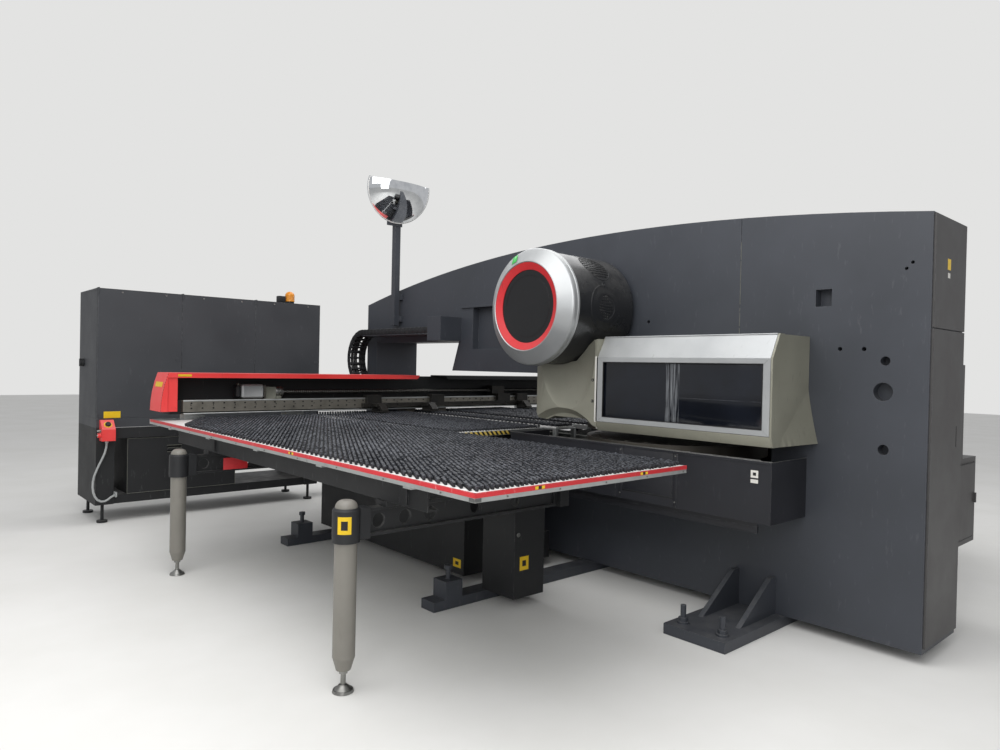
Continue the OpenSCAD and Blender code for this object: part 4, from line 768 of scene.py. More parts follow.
# red band round the side tables, wrapped a little over the rim, and the channel's joints, corner keys and screws
tableEdges = {
    "tableBand": {
        "coat": ("redTape", "red_paint"), "body": "y_carriage", "twin": True, "corner": (0.0004,),
        "boxes": [(-2.6182, -1.4662, 1.002, -2.6165, 2.62, 1.0212),
                  (-2.6182, -1.4662, 1.002, -1.2188, -1.4645, 1.0212),
                  (-2.6182, -1.4662, 1.02, -2.61, 2.62, 1.0215),
                  (-2.6182, -1.4662, 1.02, -1.2188, -1.458, 1.0215)],
    },
    "channelJoints": {
        "coat": ("darkAluminium", "table_metal"), "body": "y_carriage", "twin": True, "corner": (0.0004,),
        "boxes": [(-2.6182, y, 0.985, -2.615, y + 0.0025, 1.0015) for y in (-0.1, 1.27)]
        + [(-2.6185, -1.4665, 0.9855, -2.585, -1.43, 1.001, 0.001)],
    },
}
makeAll(tableEdges)
screws("channelScrews", [(-2.6165, y, 0.9935) for y in np.arange(-1.25, 2.5, 0.42)], (-1, 0, 0), 0.004,
       body="y_carriage")
screws("channelScrewsNear", [(x, -1.4645, 0.9935) for x in np.arange(-2.45, -1.25, 0.3)], (0, -1, 0), 0.004,
       body="y_carriage")
print("table edges made")

# drum cover: a raised round panel with a keyhole fastener round the grille, louvre frame, back seam, plain patch
drum = {
    "axisZ": 1.92,
    "radius": 0.39,
    "panel": {"x": -0.59, "angle": 90, "inner": 0.084, "outer": 0.158, "height": 0.0022},
    "louvre": {"x": -0.575, "angle": 42, "half": (0.118, 0.13), "slat": 0.024, "shift": 0.009, "share": 0.94},
    "ringFace": {"x": -0.9605, "radius": 0.357, "rise": (0.058, 0.1)},
}
# seam where the drum meets the ring
drumSeal = {
    "coat": ("blackRubber", "black_plastic"), "at": [(0, 0, drum["axisZ"])], "spin": ((-1, 0, 0), 96),
    "outline": [(0.3895, 0.858), (0.3935, 0.859), (0.3945, 0.866), (0.3935, 0.8685), (0.3895, 0.8685)],
}


def wrapOnDrum(piece, x, degrees):
    # bends a flat piece (X along the drum, Y down its near side, Z outwards) on to the drum's wall
    points = np.empty(len(piece.data.vertices) * 3)
    piece.data.vertices.foreach_get("co", points)
    u, v, h = points.reshape(-1, 3).T
    angle = math.radians(degrees) + v / drum["radius"]
    reach = drum["radius"] + h
    wrapped = np.stack([x + u, -reach * np.sin(angle), drum["axisZ"] + reach * np.cos(angle)], axis=1)
    piece.data.vertices.foreach_set("co", wrapped.reshape(-1))
    piece.data.update()
    return turnOutwards(piece)


def buildDrumPanel(look):
    a, b, h = look["inner"], look["outer"], look["height"]
    origin, up = (0, 0, 0), (0, 0, 1)
    ring = lathe("drumPanel", [(a, -0.001), (a, h * 0.6), (a + 0.002, h), (a + 0.02, h), (a + 0.04, h), (b - 0.01, h),
                               (b - 0.004, h * 1.8), (b - 0.001, h * 1.6), (b, h * 0.6), (b, -0.001), (a, -0.001)],
                 origin, up, 96)
    keyhole = lathe("keyhole", [(0.0, h), (0.007, h), (0.008, h * 2.4), (0.013, h * 2.6), (0.015, h), (0.015, -0.001)],
                    (0, -b - 0.004, 0), up, 32)
    slot = block("keySlot", (-0.0015, -b - 0.009, h), (0.0015, -b + 0.001, h * 1.5), 0.0004)
    return wrapOnDrum(joined("drumPanel", [ring, keyhole, slot]), look["x"], look["angle"])


def buildLouvre(look):
    # raised oval rim with slats leaning down inside it
    a, b = look["half"]
    rim = lathe("drumLouvre", [(0.96, -0.001), (0.965, 0.002), (0.985, 0.0032), (1.0, 0.002), (1.006, -0.001)],
                (0, 0, 0), (0, 0, 1), 72)
    rim.scale = (a, b, 1)
    parts = [settle(rim, "drumLouvre")]
    for i in range(-4, 5):
        v = i * look["slat"] + look["shift"]
        half = a * math.sqrt(max(0.05, 1 - (v / b) ** 2)) * look["share"]
        parts.append(block("slat", (-half, v - 0.006, -0.01), (half, v - 0.002, 0.0025), 0.0008))
    return wrapOnDrum(joined("drumLouvre", parts), look["x"], look["angle"])


def onRingFace(piece, degrees, look):
    # lays a flat piece on the ring's leaning face; degrees from the top towards the far side
    piece.matrix_world = Matrix.Translation((look["x"], 0, drum["axisZ"])) \
        @ Matrix.Rotation(math.radians(-degrees), 4, "X") @ Matrix.Translation((0, 0, look["radius"])) \
        @ Matrix.Rotation(math.atan2(*look["rise"]) - math.pi / 2, 4, "Y")
    return settle(piece, piece.name)


place(buildDrumPanel(drum["panel"]), "drumCoat", "frame_paint")
place(buildLouvre(drum["louvre"]), "blackMoulding", "frame_paint")
make("drumSeal", drumSeal)
patch = block("greenPatch", (-0.034, -0.026, -0.0002), (0.034, 0.026, 0.0006), 0.0003)
place(onRingFace(patch, 22, drum["ringFace"]), "greenVinyl", "silver_paint")
print("drum cover dressed")

# turret guard: sheet housing with the knocked corner, mitred door frame, seals and hinge
guard = {
    "near": -1.636,
    "far": -0.4,
    "outline": [(1.092, -0.661), (1.153, -0.684), (1.58, -0.684), (1.715, -0.61)],  # height, front edge
    "back": -0.2576,
    "flare": 0.062,  # how far the lower corner stands out at the frame
    "lift": 0.12,  # how far it rises for that
    "fold": {"top": 1.39, "start": 0.14, "slant": 0.92, "curve": 1.25},
    "crease": {"depth": 0.014, "waves": 46, "above": 0.8, "at": 0.38, "reach": 0.26},
    "sheet": 0.0025,
    "endSheet": 0.003,
    "under": [(-0.6325, 1.0945), (-0.6605, 1.0945), (-0.6825, 1.1515)],
    "top": [(-0.6035, 1.7125), (-0.2576, 1.7125)],
    "border": [(-0.6605, 1.0945), (-0.6825, 1.1535), (-0.6825, 1.5795), (-0.6095, 1.7125), (-0.58, 1.7125)],
}
guardMitres = {
    "bar": ((-0.6844, -0.0007, -0.024), (-0.6838, 0.0007, 0.024)),
    "corners": [(-1.601, 1.1685, -45), (-0.428, 1.1685, 45), (-1.601, 1.565, 45), (-0.428, 1.565, -45)],  # y, z, turn
}
guardTrim = {
    "windowSeal": {  # rubber round the window
        "coat": ("blackRubber", "black_plastic"), "body": "guard_lid", "corner": (0.001,),
        "boxes": [(-0.6855, -1.58, 1.184, -0.6745, -0.45, 1.189), (-0.6855, -1.58, 1.545, -0.6745, -0.45, 1.55),
                  (-0.6855, -1.58, 1.184, -0.6745, -1.575, 1.55), (-0.6855, -0.455, 1.184, -0.6745, -0.45, 1.55)],
    },
    "coverHoles": {  # rubber bushes in the moulded cover
        "coat": ("blackMoulding", "champagne_paint"), "spin": ((-1, 0, 0), 28),
        "at": [(-0.6838, -0.363, 1.427), (-0.6838, -0.363, 1.286)],
        "outline": [(0.0, -0.004), (0.006, -0.004), (0.0065, 0.0008), (0.009, 0.0016), (0.0105, 0.0006),
                    (0.0108, -0.002)],
    },
    "windowPane": {  # second pane of the window, in front of the first where they lap
        "coat": ("windowGlass", "dark_glass"), "body": "guard_lid",
        "boxes": [(-0.6779, -1.588, 1.18, -0.6745, -0.98, 1.554, 0.0006)],
    },
}
# lip of the moulded cover beside the guard, its pale colour a painted highlight along the cover's edge, with the dark
# gap between them
coverLip = {
    "lip": [(-0.6605, 1.1), (-0.6855, 1.158), (-0.6855, 1.578), (-0.6115, 1.7005), (-0.42, 1.7005)],
    "gap": [(-0.6605, 1.098), (-0.6832, 1.156), (-0.6832, 1.578), (-0.6098, 1.7085), (-0.42, 1.7085)],
}


def guardEdge(z):
    zs, xs = zip(*guard["outline"])
    return float(np.interp(z, zs, xs))


def knock(x, z):
    # depth of the bent corner: a soft diagonal fold, deepest at the frame and the bottom edge, with small creases
    front, bottom, fold, crease = guardEdge(z), guard["outline"][0][0], guard["fold"], guard["crease"]
    across = (x - front) / (guard["back"] - front)
    down = (fold["top"] - z) / (fold["top"] - bottom)
    bent = (across - fold["start"]) / (1 - fold["start"]) - (1 - min(1, down)) * fold["slant"]
    if bent <= 0:
        return 0.0
    fade = max(0, down - crease["above"]) * max(0, 1 - abs(across - crease["at"]) / crease["reach"])
    return guard["flare"] * bent ** fold["curve"] + crease["depth"] * math.sin(across * crease["waves"]) * fade


def buildGuardEnd(look):
    deselectAll()
    bpy.ops.mesh.primitive_grid_add(x_subdivisions=56, y_subdivisions=72, size=1)
    panel = bpy.context.object
    bottom, top = look["outline"][0][0], look["outline"][-1][0]
    for vertex in panel.data.vertices:
        s, t = vertex.co.x + 0.5, vertex.co.y + 0.5
        z = bottom + t * (top - bottom)
        x = guardEdge(z) + s * (look["back"] - guardEdge(z))
        depth = knock(x, z)
        vertex.co = (x, look["near"] - depth, z + depth * look["lift"])
    solid = panel.modifiers.new("sheet", "SOLIDIFY")
    solid.thickness, solid.offset = look["endSheet"], 0
    applyAll(panel)
    panel.data.transform(Matrix.Translation((0, look["endSheet"] / 2, 0)))
    panel.name = "guardShell"
    return turnOutwards(panel)


def buildGuardShell(look):
    y0, y1, sheet = look["near"] + 0.003, look["far"], look["sheet"]
    parts = [buildGuardEnd(look),
             foldedStrip("lowBand", look["under"], y0, y1, sheet),
             foldedStrip("topSheet", look["top"], y0, y1, sheet),
             foldedStrip("nearBorder", look["border"], y0, y0 + 0.0095, sheet),
             foldedStrip("farBorder", look["border"], y1 - 0.0045, y1, sheet),
             block("hingeStrip", (-0.6035, y0, 1.7128), (-0.552, y1, 1.7185), 0.0008)]
    return joined("guardShell", parts)


def buildMitres(look):
    cuts = []
    for y, z, turn in look["corners"]:
        cut = block("guardMitres", *look["bar"], 0.0002)
        cut.matrix_world = Matrix.Translation((0, y, z)) @ Matrix.Rotation(math.radians(turn), 4, "X")
        cuts.append(settle(cut, "guardMitres"))
    return joined("guardMitres", cuts)


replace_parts(place(buildGuardShell(guard), "champagneCoat", "champagne_paint", angle=28), "guard_housing")
place(buildMitres(guardMitres), "darkAluminium", "silver_paint", "guard_lid")
makeAll(guardTrim)
screws("hingeScrews", [(-0.578, y, 1.7185) for y in np.arange(-1.58, -0.42, 0.125)], (0, 0, 1), 0.0045)
# the lip's pale colour is a painted highlight
place(foldedStrip("coverLip", coverLip["lip"], -0.3985, -0.385, 0.003), "paleGasket", "champagne_paint")
place(foldedStrip("guardGap", coverLip["gap"], -0.4057, -0.3985, 0.002), "blackRubber", "black_plastic")
print("guard made")

# carriage beam: servo motor with its bracket and coupling, bearing blocks, bright strips, cover edges
beamParts = {
    "motorRear": {"coat": ("blackMoulding", "black_plastic"),
                  "boxes": [(-1.975, 2.473, 1.186, -1.937, 2.587, 1.3, 0.018, 1)]},
    "motorBody": {"coat": ("silverCoat", "silver_paint"), "angle": 25, "recess": (0.008, -0.0025),
                  "boxes": [(-1.933, 2.465, 1.186, -1.739, 2.595, 1.305, 0.014, 1)]},
    "motorFlange": {"coat": ("oiledSteel", "dark_steel"),
                    "boxes": [(-1.737, 2.4655, 1.186, -1.725, 2.5945, 1.3, 0.002)],
                    "rods": [((-1.955, 2.5, 1.298), (-1.955, 2.5, 1.314), 0.013, 20)]},
    "motorBracket": {"coat": ("castBracket", "dark_steel"), "recess": (0.012, -0.006),
                     "boxes": [(-1.723, 2.48, 1.175, -1.625, 2.58, 1.284, 0.003)]},
    "coupling": {"coat": ("groundSteel", "machined_steel"), "at": [(-1.625, 2.53, 1.24)],
                 "spin": ((1, 0, 0), 40),
                 "outline": [(0.021, 0.0), (0.044, 0.0), (0.046, 0.003), (0.046, 0.026), (0.0445, 0.028),
                             (0.0445, 0.033), (0.052, 0.036), (0.052, 0.066), (0.05, 0.069), (0.036, 0.07),
                             (0.036, 0.078), (0.021, 0.079)]},
    "bearingBlocks": {"coat": ("castBracket", "dark_steel"),
                      "boxes": [(-1.623, 2.48, 1.175, -1.575, 2.58, 1.204, 0.003),
                                (2.15, 2.48, 1.175, 2.208, 2.58, 1.29, 0.006)]},
    "guideStrips": {"coat": ("millAluminium", "machined_steel"),
                    "boxes": [(-2.43, 2.4192, 1.169, 2.43, 2.4275, 1.1806, 0.0012),
                              (-2.43, 2.4035, 1.0662, 2.43, 2.4125, 1.0768, 0.0035, 3)]},
    "coverRim": {"coat": ("coverCoat", "red_paint"),
                 "boxes": [(-2.496, 2.3592, 1.3975, -0.185, 2.363, 1.4004, 0.0009),
                           (-2.496, 2.3592, 1.3618, -0.2, 2.3618, 1.364, 0.0008)]},
    "coverLining": {"coat": ("baseCoat", "base_paint"), "twin": True,
                    "boxes": [(-2.488, 2.3665, 1.362, -0.21, 2.369, 1.393, 0.0008)]},
}
# dark stitched edge trim down the corner of each end cap, where the side sheet meets the front
capTrim = {"stitches": 15, "radius": 0.0016, "x": -2.6172, "bow": 0.055, "y": 2.3598, "z": (1.094, 0.306)}


def buildCapTrim(look):
    trims, (low, rise) = [], look["z"]
    for i in range(look["stitches"]):
        runs = (i / look["stitches"] + 0.012, (i + 0.62) / look["stitches"])
        ends = [(look["x"] + look["bow"] * t * t, look["y"], low + t * rise) for t in runs]
        trims.append(rod("capTrim", *ends, look["radius"], 8, 0.0004))
    return bothSides("capTrim", joined("capTrim", trims))


for name, look in beamParts.items():
    make(name, {**look, "body": "y_carriage"})
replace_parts(bpy.data.objects["motorBody"], "x_motor")
place(buildCapTrim(capTrim), "blackRubber", "black_plastic", "y_carriage")
screws("guideScrews", [(x, 2.4196, z) for x in np.arange(-2.367, 2.4, 0.088) for z in (1.1555, 1.1145)],
       (0, -1, 0), 0.0062, "blackRubber", "y_carriage", "dark_steel")
screws("capScrews", [(x, 2.3702, z) for x in (-2.535, -2.505) for z in (1.125, 1.335)], (0, -1, 0), 0.0042,
       "coverCoat", "y_carriage", "red_paint")
print("beam dressed")

# energy chain: links with side plates, pivots and cross bars, and four cables inside
chain = {
    "left": -0.4795,
    "width": 0.19,
    "start": 1.8,
    "z": 1.83,
    "pitch": 0.065,
    "straight": 18,
    "bend": 13,
    "back": 4,
    "radius": 0.265,
    "height": 0.06,
    "plate": (0.0005, 0.0065),  # inwards from the chain's side
    "waist": 0.003,
    "pin": 0.011,
    "bar": (0.011, 0.0035),
    "cables": [(-0.44, -0.006, 0.015), (-0.395, 0.004, 0.018), (-0.345, -0.004, 0.013), (-0.315, 0.006, 0.011)],
}


def chainLine(look, count):
    # (y, z, turn) along the middle of the chain, in equal steps
    straight = look["straight"] * look["pitch"]
    arc = math.pi * look["radius"]
    back = look["back"] * look["pitch"]
    corner = look["start"] + straight
    line = []
    for s in np.linspace(0, straight + arc + back, count):
        if s <= straight:
            line.append((look["start"] + s, look["z"], 0.0))
        elif s <= straight + arc:
            a = (s - straight) / look["radius"]
            line.append((corner + look["radius"] * math.sin(a), look["z"] - look["radius"] * (1 - math.cos(a)), -a))
        else:
            line.append((corner - (s - straight - arc), look["z"] - 2 * look["radius"], -math.pi))
    return line


def buildLink(look):
    half, high, wide, (deep, thick) = look["pitch"] / 2, look["height"] / 2, look["width"] / 2, look["bar"]
    parts = []
    for side in (-1, 1):
        x0, x1 = sorted(side * (wide - inwards) for inwards in look["plate"])
        parts.append(block("chainLink", (x0, -half - 0.006, -high + 0.002), (x1, half + 0.004, high - 0.002), 0.007, 3))
        x0, x1 = sorted((side * wide, side * (wide - look["waist"])))
        parts.append(block("linkWaist", (x0, -half * 0.5, -high + 0.008), (x1, half * 0.5, high - 0.008), 0.004))
        pin = [(side * (wide + out), half - 0.006, 0) for out in (-0.002, 0.0012)]
        parts.append(rod("linkPin", *pin, look["pin"], 20))
    for z in (-high + 0.004, high - 0.004):
        parts.append(block("linkBar", (-wide + 0.004, -deep, z - thick), (wide - 0.004, deep, z + thick), 0.002))
    return joined("chainLink", parts)


def buildChain(look):
    count = look["straight"] + look["bend"] + look["back"]
    stops = chainLine(look, 2 * count + 1)[1::2]
    turns = np.array([a for y, z, a in stops])

    def vary(spread):
        y, z = spread[:, :, 1].copy(), spread[:, :, 2].copy()
        c, s = np.cos(turns)[:, None], np.sin(turns)[:, None]
        spread[:, :, 1], spread[:, :, 2] = y * c - z * s, y * s + z * c
        return spread

    middle = look["left"] + look["width"] / 2
    return copyTo(buildLink(look), [(middle, y, z) for y, z, a in stops], "chainLinks", vary)


def buildCables(look):
    cables = []
    for x, lift, radius in look["cables"]:
        line = [(x, y - lift * math.sin(a), z + lift * math.cos(a)) for y, z, a in chainLine(look, 110)]
        cables.append(tube("chainCables", line, radius))
    return joined("chainCables", cables)


links, cables = buildChain(chain), buildCables(chain)
for piece, finish, angle in ((links, "blackMoulding", 35), (cables, "cableJacket", 60)):
    smooth(piece, finish, angle)
    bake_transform(piece)
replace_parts(links, "energy_chain")
print("energy chain made")

# safety mirror: white rim round the dome and black stays behind it
mirror = {"place": (-0.3615, 2.505, 3.255), "radius": 0.329, "cut": 0.063, "rim": 0.0065, "turns": (-8, 9, 2)}
mirrorStays = {
    "corner": (0.003,),
    "boxes": [(-0.067, 0.012, -0.19, -0.043, 0.03, 0.03), (0.043, 0.012, -0.19, 0.067, 0.03, 0.03),
              (-0.12, 0.011, -0.118, 0.12, 0.024, -0.09)],
}


def onMirror(piece, look):
    turns = [Matrix.Rotation(math.radians(angle), 4, axis) for angle, axis in zip(look["turns"], "ZXY")]
    piece.matrix_world = Matrix.Translation(look["place"]) @ turns[0] @ turns[1] @ turns[2]
    return settle(piece, piece.name)


def buildMirrorRim(look):
    # from one end of the flat top edge round below to the other, and back along the edge
    r = look["radius"]
    high = math.asin(look["cut"] / r)
    arc = [(r * math.cos(a), 0.002, r * math.sin(a)) for a in np.linspace(math.pi - high, 2 * math.pi + high, 80)]
    return tube("mirrorRim", arc + [arc[0]], look["rim"])


place(onMirror(buildMirrorRim(mirror), mirror), "whiteBoard", "mirror_face", angle=60)
place(onMirror(shape("mirrorStays", mirrorStays), mirror), "blackMoulding", "black_plastic")
print("mirror made")

# cabinet and its base: seams, screws, cable glands, ribbed conduit, beacon
doors = {"left": -2.775, "wide": 0.72833, "edges": (0.0012, 0.727), "fold": 0.003, "y": (3.6793, 3.6803),
         "z": (0.9572, 2.1345, 2.1378), "screwX": (0.2, 0.58), "screwY": 3.68, "screwZ": 2.112}
for i in range(3):
    left, body = doors["left"] + i * doors["wide"], f"door_{i + 1}"
    (x0, x1), (y0, y1), (low, fold, high) = doors["edges"], doors["y"], doors["z"]
    screws(f"doorScrews{i + 1}", [(left + x, doors["screwY"], doors["screwZ"]) for x in doors["screwX"]], (0, -1, 0),
           0.007, "groundSteel", body)
    folds = [(x0, x0 + doors["fold"], low), (x1 - doors["fold"], x1, low), (x0, x1, fold)]
    make(f"doorFolds{i + 1}", {
        "coat": ("cabinetCoat", "cabinet_paint"), "body": body, "corner": (0.0004,),
        "boxes": [(left + a, y0, z, left + b, y1, high) for a, b, z in folds],
    })

cabinetParts = {
    "cabinetSideSeam": {"coat": ("baseCoat", "cabinet_paint"), "corner": (0.0004,),
                        "boxes": [(-2.7758, 3.705, z, -2.7746, 4.378, z + 0.003) for z in (0.957, 2.118)]
                        + [(-2.7758, 3.705, 0.957, -2.7746, 3.708, 2.118)]},
    "glands": {"coat": ("groundSteel", "machined_steel"), "spin": ((-1, 0, 0), 24),
               "at": [(-2.75, 3.625, 0.81), (-2.75, 3.625, 0.85)],
               "outline": [(0.0, 0.03), (0.007, 0.03), (0.009, 0.022), (0.012, 0.021), (0.012, 0.008), (0.016, 0.007),
                           (0.016, 0.0)]},
    "buttonCollar": {"coat": ("yellowVinyl", "red_paint"), "at": [(-2.695, 3.61, 0.905)],
                     "spin": ((0, -1, 1), 40),
                     "outline": [(0.0255, 0.0), (0.0335, 0.0), (0.0338, 0.0012), (0.032, 0.0022), (0.0265, 0.0022),
                                 (0.0255, 0.0018)]},
    "beaconLens": {"coat": ("amberLens", "amber_lens"), "at": [(-0.92, 3.74, 2.156)],
                   "spin": ((0, 0, 1), 48),  # ribbed for half its height
                   "outline": [(0.0415, 0.0), (0.0505, 0.002), (0.0505, 0.01)]
                   + [(0.0505 - 0.0022 * (i % 2), 0.012 + 0.004 * i) for i in range(12)]
                   + [(0.0502, 0.064), (0.047, 0.08), (0.038, 0.094), (0.022, 0.106), (0.0, 0.11)]},
    "beaconFoot": {"coat": ("blackMoulding", "black_plastic"), "at": [(-0.92, 3.74, 2.14)],
                   "spin": ((0, 0, 1), 40),
                   "outline": [(0.0, 0.0), (0.044, 0.0), (0.046, 0.003), (0.046, 0.014), (0.043, 0.0165),
                               (0.0, 0.0165)]},
    "beaconTab": {"coat": ("blackMoulding", "black_plastic"),
                  "boxes": [(-1.06, 3.71, 2.14, -0.98, 3.77, 2.21, 0.006)]},
    # pale strips along the edges of the lower electrics box and its grip: painted highlights
    "lowBoxEdgeHighlights": {"coat": ("castBracket", "base_paint"), "corner": (0.0002, 1),
                    "boxes": [(-2.5105, 3.6934, z, -1.5, 3.6944, z + 0.003) for z in (0.251, 0.7595)]
                    + [(x, 3.6934, 0.25, x + 0.003, 3.6944, 0.763) for x in (-2.5105, -1.503)]
                    + [(-2.162, 3.6932, z, -2.028, 3.6944, z + 0.004, 0.0003, 1) for z in (0.617, 0.679)]
                    + [(-2.158, 3.6872, 0.6545, -2.032, 3.6892, 0.6575, 0.0004, 1)]},
}
conduit = {
    "y": 3.625,
    "radius": 0.01,
    "step": 0.0016,
    "path": [(-2.7, 0.76), (-2.7, 0.735), (-2.703, 0.7), (-2.714, 0.65), (-2.734, 0.6), (-2.757, 0.55),
             (-2.778, 0.5), (-2.796, 0.45), (-2.806, 0.4), (-2.808, 0.35), (-2.802, 0.3), (-2.788, 0.26),
             (-2.767, 0.23), (-2.738, 0.213), (-2.708, 0.213), (-2.682, 0.226), (-2.66, 0.244), (-2.636, 0.258),
             (-2.626, 0.262)],
    "nut": [(0.0, 0.0), (0.014, 0.0), (0.015, 0.002), (0.015, 0.016), (0.0125, 0.02), (0.0, 0.02)],
    "nutAt": (-2.7, 3.625, 0.7405),
    "plate": [(-2.626, 3.607, 0.242, -2.612, 3.68, 0.286, 0.002)],
}


def buildConduit(look):
    # corrugated: the radius steps every 3 mm along the line
    points = np.array(look["path"])
    reach = np.concatenate([[0], np.cumsum(np.hypot(*np.diff(points, axis=0).T))])
    steps = np.arange(0, reach[-1], look["step"])
    line = [(x, look["y"], z) for x, z in zip(*(np.interp(steps, reach, points[:, i]).tolist() for i in (0, 1)))]
    hose = tube("conduitHose", line, look["radius"], 2, [1.0 if i % 4 < 2 else 0.9 for i in range(len(line))])
    nut = lathe("conduitNut", look["nut"], look["nutAt"], (0, 0, 1), 24)
    return joined("conduitHose", [hose, nut] + boxes("conduitPlate", look["plate"]))


makeAll(cabinetParts)
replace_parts(bpy.data.objects["beaconLens"], "beacon_lamp")
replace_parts(place(buildConduit(conduit), "greyConduit", "grey_conduit", angle=50), "conduit")
print("cabinet dressed")

# moulded cover under the drum: a shallow dish sweeps across its face, an arch is cut over the sheet
shroud = {
    "outline": [(-0.3995, 1.11), (-0.34, 1.128), (-0.29, 1.16), (0.02, 1.16), (0.092, 1.13), (0.148, 1.14),
                (0.168, 1.18), (0.168, 1.512), (0.105, 1.53), (-0.028, 1.547), (-0.175, 1.555), (-0.306, 1.665),
                (-0.37, 1.697), (-0.3995, 1.703)],
    "inside": [(-0.42, 1.085), (0.08, 1.085), (0.156, 1.2), (0.156, 1.49), (-0.12, 1.525), (-0.17, 1.535),
               (-0.29, 1.64), (-0.36, 1.68), (-0.42, 1.69)],
    "hollow": (-0.62, -0.2),
    "face": -0.684,
    "back": -0.262,
    "edge": 0.007,
    "dish": {"at": (-0.125, 1.6), "half": (0.255, 0.385), "depth": 0.045, "round": 0.08},
    "arch": {"at": (-0.09, 0.803), "front": 0.425, "back": 0.385, "to": -0.645},
    "drum": 0.3915,
    "holes": {"y": -0.371, "z": (1.427, 1.286), "radius": 0.0098},
}


def buildShroud(look):
    face, dish, arch, holes = look["face"], look["dish"], look["arch"], look["holes"]
    piece = extrudeOutline("shroudCover", look["outline"], look["back"], face)
    bevelEdges(piece, look["edge"], 4,
               lambda middle, way: abs(way.x) < 0.1 and middle.x < face + 0.001 and middle.y > -0.39)
    share = math.sqrt(1 - (1 - dish["depth"] / dish["round"]) ** 2)
    deselectAll()
    bpy.ops.mesh.primitive_uv_sphere_add(
        segments=128, ring_count=96, radius=1, location=(face - dish["round"] + dish["depth"], *dish["at"]),
        scale=(dish["round"], dish["half"][0] / share, dish["half"][1] / share))
    cutBy(piece, settle(bpy.context.object, "dish"))
    cutBy(piece, rod("archCut", (face - 0.02, *arch["at"]), (arch["to"], *arch["at"]), arch["front"] + 0.02, 160,
                     0.001, arch["back"]))
    cutBy(piece, rod("drumSeat", (-1.0, 0, drum["axisZ"]), (-0.2, 0, drum["axisZ"]), look["drum"], 160))
    for z in holes["z"]:
        cutBy(piece, rod("holeCut", (face - 0.01, holes["y"], z), (face + 0.005, holes["y"], z), holes["radius"], 24))
    cutBy(piece, extrudeOutline("hollow", look["inside"], *look["hollow"]))
    return piece


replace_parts(place(buildShroud(shroud), "champagneCoat", "champagne_paint", angle=28), "ram_shroud")
print("shroud made")

# lower turret boxes: raised seam strips, hatch gap, bright worn rims and the dark rail below, on both sides
lowerBoxes = {
    "boxSeams": {"coat": ("boxCoat", "base_paint"), "corner": (0.0008,),
                 "boxes": [(-0.6712, y, 0.684, -0.6685, y + 0.03, 1.006) for y in (-1.04, -0.622)]
                 + [(-0.67, -1.002, 0.73, -0.6685, -0.624, 1.004, 0.0007)]},
    "boxGaps": {"coat": ("blackRubber", "black_plastic"), "corner": (0.0003,),
                "boxes": [(-0.6695, -1.0035, 0.7215, -0.6684, -0.6225, 0.7295)]
                + [(-0.6695, y, 0.7215, -0.6684, y + 0.0018, 1.006) for y in (-1.0042, -0.6238)]},
    "boxRims": {"coat": ("groundSteel", "machined_steel"), "corner": (0.0008,),
                "boxes": [(-0.6706, -1.6365, 1.0122, -0.6676, 0.449, 1.0152),
                          (-0.669, -1.6375, 1.0122, -0.26, -1.6345, 1.0152),
                          (-0.644, -1.56, 1.0125, -0.6415, 0.07, 1.0165)]},
    "boxRail": {"coat": ("boxCoat", "base_paint"),
                "boxes": [(-0.615, -1.53, 0.6, -0.595, 0.2, 0.64, 0.003),
                          (-0.615, -1.53, 0.638, -0.609, 0.2, 0.6805, 0.001)]},
}
for name, look in lowerBoxes.items():
    make(name, {**look, "twin": True})
screws("boxScrews", [(-0.6712, y, z) for y in (-1.025, -0.607) for z in (0.705, 0.985)], (-1, 0, 0), 0.0045)

# wire mesh behind the drum's round grille
grille = {"x": -0.59, "y": -0.3805, "z": 1.92, "radius": 0.08, "reach": 0.075, "pitch": 0.0125, "wire": 0.0016}


def buildGrille(look):
    wires = []
    for lean in (-1, 1):
        way, side = Vector((1, 0, lean)).normalized(), Vector((lean, 0, -1)).normalized()
        for step in np.arange(-look["reach"], look["reach"] + 0.0001, look["pitch"]):
            half = math.sqrt(look["radius"] ** 2 - step ** 2)
            middle = Vector((look["x"], look["y"] + lean * look["wire"] * 0.7, look["z"])) + side * step
            wires.append(rod("grilleWires", middle - way * half, middle + way * half, look["wire"], 8, 0.0003))
    return joined("grilleWires", wires)


place(buildGrille(grille), "groundSteel", "machined_steel")
print("lower boxes and grille made")

# plain label fields: yellow or white vinyl with a dark border or band, left without words or signs
labels = [  # centre, half size along the surface, up or across, surface direction, body, kind
    ((-2.6184, 0.087, 1.011), (0.03, 0.0065), "x", "y_carriage", "split"),
    ((-2.271, -1.4664, 1.011), (0.03, 0.0065), "y", "y_carriage", "split"),
    ((-1.574, -1.4664, 1.011), (0.03, 0.0065), "y", "y_carriage", "split"),
    ((-1.2603, 0.333, 0.136), (0.05, 0.034), "x", "machine", "framed"),
    ((-1.245, -0.3203, 0.276), (0.044, 0.05), "y", "machine", "framed"),
    ((-2.647, 3.6788, 0.99), (0.07, 0.03), "y", "door_1", "yellow"),
    ((-0.6694, -1.537, 0.94), (0.026, 0.024), "x", "machine", "white"),
    ((-0.6694, -1.537, 0.9), (0.026, 0.012), "x", "machine", "pale"),
    ((-0.037, -2.27345, 2.097), (0.03, 0.034), "y", "machine", "yellow"),
    ((-0.037, -2.27345, 2.038), (0.022, 0.016), "y", "machine", "pale"),
    ((-2.439, 2.359, 1.3805), (0.052, 0.0085), "y", "y_carriage", "yellow"),
]
